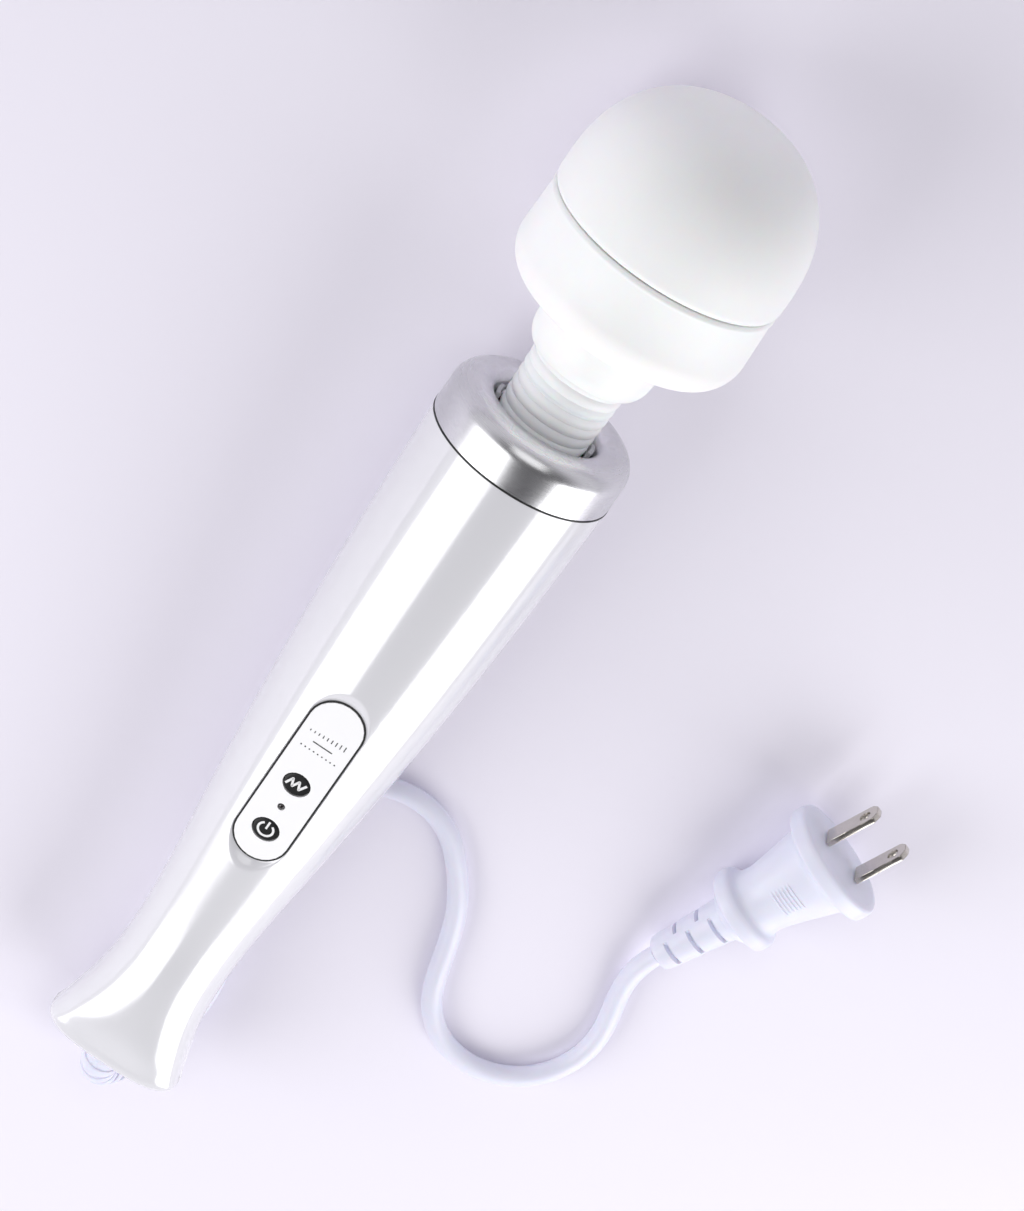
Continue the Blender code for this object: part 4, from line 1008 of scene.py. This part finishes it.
# %% [markdown]
# What is printed on the keys and beside them is a thin layer of ink, as it comes off a screen. An
# image texture would be the usual way, but a shape stays sharp from near and is the same in every
# export. So each stroke is a strip with a width and a height that follows a line. The lettering of
# the real one is left out: a row of rising ticks and a row of dots stand where two small lines of
# text would be.

# %% Strokes of ink
INK = 0.035                    # how high a stroke is
KEY_INK = KEY_FACE - 0.03      # where the strokes on a key start, just inside its crowned face
PANEL_INK = PANEL_TOP - 0.01


def stroke(name, line, wide, base, look, body, slot, high=INK):
    """A line of ink: four corners carried along a flat line, left and right of it by half its
    width, at the base and at the base plus its height. A point closes each end."""
    line = np.array(line, float)
    way = np.gradient(line, axis=0)
    way /= np.linalg.norm(way, axis=1)[:, None]
    normal = np.stack([-way[:, 1], way[:, 0]], axis=1)
    left, right_of = line + normal * wide / 2, line - normal * wide / 2
    section = ((left, base), (left, base + high), (right_of, base + high), (right_of, base))
    corners = [np.column_stack([flat, np.full(len(line), level)]) for flat, level in section]
    grid = np.stack(corners, axis=1)
    grid = np.concatenate([grid[:1].mean(1, keepdims=True).repeat(4, 1), grid,
                           grid[-1:].mean(1, keepdims=True).repeat(4, 1)])
    return fit(skin(name, placed(grid, PANEL)), look, body, slot)


def zigzag(corners, step=0.08):
    """The line through the corners, with each corner rounded, in short steps."""
    return refined(rounded([(*corner, 0.25) for corner in corners], 4), step)


# %% Marks on the keys
POWER_RING = (2.0, 1.85)       # half its width and half its height
POWER_OPEN = 34                # half the angle of its opening at the top, in degrees
ring_turn = np.radians(np.linspace(90 + POWER_OPEN, 450 - POWER_OPEN, 60))
power_ring = np.stack([POWER_RING[0] * np.cos(ring_turn), POWER_KEY_Y + POWER_RING[1] * np.sin(ring_turn)],
                      axis=1)
power_bar = [(0, POWER_KEY_Y + y) for y in (0.1, 0.9, 1.7, 2.4)]
wave = [(-2.6, -1.15), (-1.5, 1.2), (-0.8, -1.05), (0.35, 1.2), (1.1, -1.05), (2.35, 1.2)]
wave_line = zigzag([(x, MODE_KEY_Y + y) for x, y in wave])
stroke("power_mark_ring", power_ring, 0.6, KEY_INK, mark_white, "power_key", "panel_white")
stroke("power_mark_bar", power_bar, 0.55, KEY_INK, mark_white, "power_key", "panel_white")
stroke("mode_mark_wave", wave_line, 0.62, KEY_INK, mark_white, "mode_key", "panel_white")
print("wave of", len(wave), "corners and", len(wave_line), "points")

# %% Marks on the panel
MARKS = 9
MARK_FROM = -4.8               # of the first tick and dot, across the panel
MARK_PITCH = 1.2
TICK_Y = 14.2
DOT_Y = 9.6

rule = [(x, MARK_AT) for x in (-2.75, -1, 1, 2.75)]
stroke("panel_mark_line", rule, 0.34, PANEL_INK, mark_grey, "handle", "black_plastic")
dot = rounded([(PANEL_TOP + 0.025, 0, 0), (PANEL_TOP + 0.02, 0.2, 0.05), (PANEL_TOP - 0.02, 0.26, 0),
               (PANEL_TOP - 0.02, 0, 0)])
for i in range(MARKS):
    x = MARK_FROM + MARK_PITCH * i
    high = 0.5 + 0.13 * i
    tick = [(x, TICK_Y), (x, TICK_Y + high / 2), (x, TICK_Y + high)]
    stroke(f"panel_tick_{i + 1}", tick, 0.26, PANEL_INK, mark_grey, "handle", "black_plastic")
    piece = turned_on_panel(f"panel_dot_{i + 1}", dot, DOT_Y, sides=16)
    piece.data.transform(Matrix.Translation((right * x * MM).tolist()))
    fit(piece, mark_grey, "handle", "black_plastic")
print(MARKS, "ticks and as many dots")

# %% [markdown]
# The pieces inside are CAD parts with the right shapes, so they keep them and get their finishes:
# each slot of the record has one, named for what such a part is made of. A colour would tell them
# apart as well, but a library part may be opened up, and then its inside should look real too.

# %% Finishes of the pieces inside
inside_looks = {
    "gloss_white_shell": shell_white,
    "panel_white": panel_white,
    "white_plastic": ring_white,
    "lead_white": lead_white,
    "grey_plastic": clip_grey,
    "black_plastic": black_nylon_and_shade,
    "lamp": lamp_dark,
    "steel": machined("zinc_plated_steel", "#b9bcc2", (0.20, 0.38), 0.15, 0.002),
    "weight_brass": machined("turned_brass", "#d3ab6a", (0.18, 0.34), 0.12, 0.002),
    "motor_magnet": moulded("sintered_ferrite", "#3a3b3f", "#2b2c30", 3, (0.55, 0.75), 0.15, 0.02),
    "black_rubber": moulded("black_nitrile_rubber", "#1a1a1b", "#232324", 4, (0.6, 0.8), 0.3, 0.02),
    "board": moulded("green_solder_mask", "#0f5a35", "#0b4429", 2, (0.25, 0.4), 0.2, 0.006, Coat_Weight=0.4),
    "blue_plastic": moulded("blue_heat_shrink_sleeve", "#1c3f8c", "#16326f", 3, (0.2, 0.35), 0.4, 0.006),
}
slot_of = {part["node"]: part["material_slot"] for part in frame["record"]["subparts"]}
as_they_are = {name: node for name, node in frame["nodes"].items() if not node.hide_render}
for name, node in as_they_are.items():
    node.data.materials.clear()
    node.data.materials.append(inside_looks[slot_of[name]])
print(len(as_they_are), "CAD nodes keep their shape")

# %% [markdown]
# Two small soft-edged covers close the screw wells in the back of the handle. They are discs turned
# about a line out of the back, with a crown that follows the handle closely enough to look flush.

# %% Covers of the screw wells
SCREWS_AT = (66.0, 134.5)      # along the wand
COVER_R = 2.8
COVER_DEPTH = 3.8

for number, step in enumerate(SCREWS_AT, 1):
    skin_r = np.interp(step, profile[:, 0], profile[:, 1])
    disc = rounded([(skin_r - COVER_DEPTH, 0, 0), (skin_r - COVER_DEPTH, COVER_R, 0.2),
                    (skin_r - 0.2, COVER_R, 0), (skin_r - 0.02, COVER_R - 0.05, 0.15),
                    (skin_r + 0.12, 2.2, 0.4), (skin_r + 0.16, 0, 0)], 4)
    a = np.linspace(0, 2 * np.pi, 64, endpoint=False)
    deep, radius = disc.T[..., None]
    grid = np.stack([radius * np.sin(a), step + radius * np.cos(a), -deep + 0 * a], axis=-1)
    cover = skin(f"screw_cover_{number}", placed(grid, WAND))
    fit(cover, shell_white, "handle", "gloss_white_shell", f"screw_plug_{number}")
print(len(SCREWS_AT), "covers of", 2 * COVER_R, "mm")

# %% [markdown]
# A pale painted board is the plain ground, and the room round it is only a gradient: bright near the
# horizon and dark overhead. That dark ceiling is what the gloss mirrors along the middle of the
# handle. An evenly lit room would make the white handle flat.

# %% Floor and room
FLOOR_HALF = 6.0               # metres, so that the floor fills every view
FLOOR_DOWN = 0.0002            # it lies this much below the lowest piece
ROOM_LOW, ROOM_HIGH = 0.40, 0.88     # heights of a view's direction, 1 being straight up
LOW_LIGHT, HIGH_LIGHT = 0.80, 0.10   # the room's light below the one and above the other

scene = bpy.context.scene
scene.view_settings.view_transform = "Standard"
scene.view_settings.look = "None"

spread = np.linspace(-FLOOR_HALF, FLOOR_HALF, 13)
floor_grid = np.stack([*np.meshgrid(spread, spread), np.full((13, 13), -FLOOR_DOWN)], axis=-1)
floor = skin("floor", floor_grid, tube=False, inside=np.array([0, 0, -1.0]))
floor.data.materials.append(moulded("pale_painted_board", "#f3f0f9", "#efebf6", 300, (0.85, 0.95), 1.5, 0.01))

world = bpy.data.worlds.new("studio")
scene.world = world
world.use_nodes = True
sky = world.node_tree
ray = add(sky, "TexCoord").outputs["Generated"]
tall = add(sky, "SeparateXYZ", links=[(0, ray)])
fade = add(sky, "MapRange", {"interpolation_type": "SMOOTHSTEP", "From Min": ROOM_LOW, "From Max": ROOM_HIGH,
                             "To Min": LOW_LIGHT, "To Max": HIGH_LIGHT}, [("Value", tall.outputs[2])])
sky.links.new(fade.outputs["Result"], sky.nodes["Background"].inputs["Strength"])
sky.nodes["Background"].inputs["Color"].default_value = srgb("#f6f4fb")
print("floor", 2 * FLOOR_HALF, "m square")

# %% [markdown]
# A glossy white handle looks white only where it mirrors something bright. Two long soft boxes lie
# along the wand, one on each side, and between them the gloss mirrors the dark ceiling: that is the
# grey band down the handle, and the dark one across the chrome. The floor gives the grey along the
# edges. A third, weaker box stands past the head and rounds it. Each box's place is worked out from
# the angle round the handle that mirrors it, so a band can be moved by changing one number.

# %% Soft boxes
WAND_MIDDLE = placed((0, 120, 0), WAND)
SEEN_AT = -2.2                 # the camera's angle round the wand, in degrees from the keys


def soft_box(name, seen_at, distance, width, length, power, lean=0.42):
    """A long area light that the handle mirrors at the angle seen_at, in degrees round from the
    keys: it stands at twice that angle from the camera. lean is how far it goes down the wand for
    each metre out from it: as far as the camera goes up past the head, or the other way if negative.
    distance, width and length are in metres, and power in watts."""
    angle = math.radians(2 * seen_at - SEEN_AT)
    way = np.array([math.sin(angle), -lean, math.cos(angle)])
    place = WAND_MIDDLE + distance * (way / np.linalg.norm(way)) @ WAND[1]
    data = bpy.data.lights.new(name, "AREA")
    data.shape = "RECTANGLE"
    data.size, data.size_y = width, length
    data.energy = power
    lamp = bpy.data.objects.new(name, data)
    scene.collection.objects.link(lamp)
    back = unit(place - WAND_MIDDLE)
    length_way = unit(WAND[1][1] - (WAND[1][1] @ back) * back)
    turn = np.column_stack([np.cross(length_way, back), length_way, back])
    lamp.matrix_world = Matrix.Translation(place.tolist()) @ Matrix(turn.tolist()).to_4x4()
    print(name, "stands at", place.round(2))


soft_box("left_box", seen_at=-19.0, distance=0.75, width=0.66, length=0.56, power=3.4)
soft_box("right_box", seen_at=36.0, distance=0.75, width=0.60, length=0.56, power=3.6)
soft_box("head_box", seen_at=3.0, distance=0.9, width=0.6, length=0.5, power=1.2, lean=-0.6)
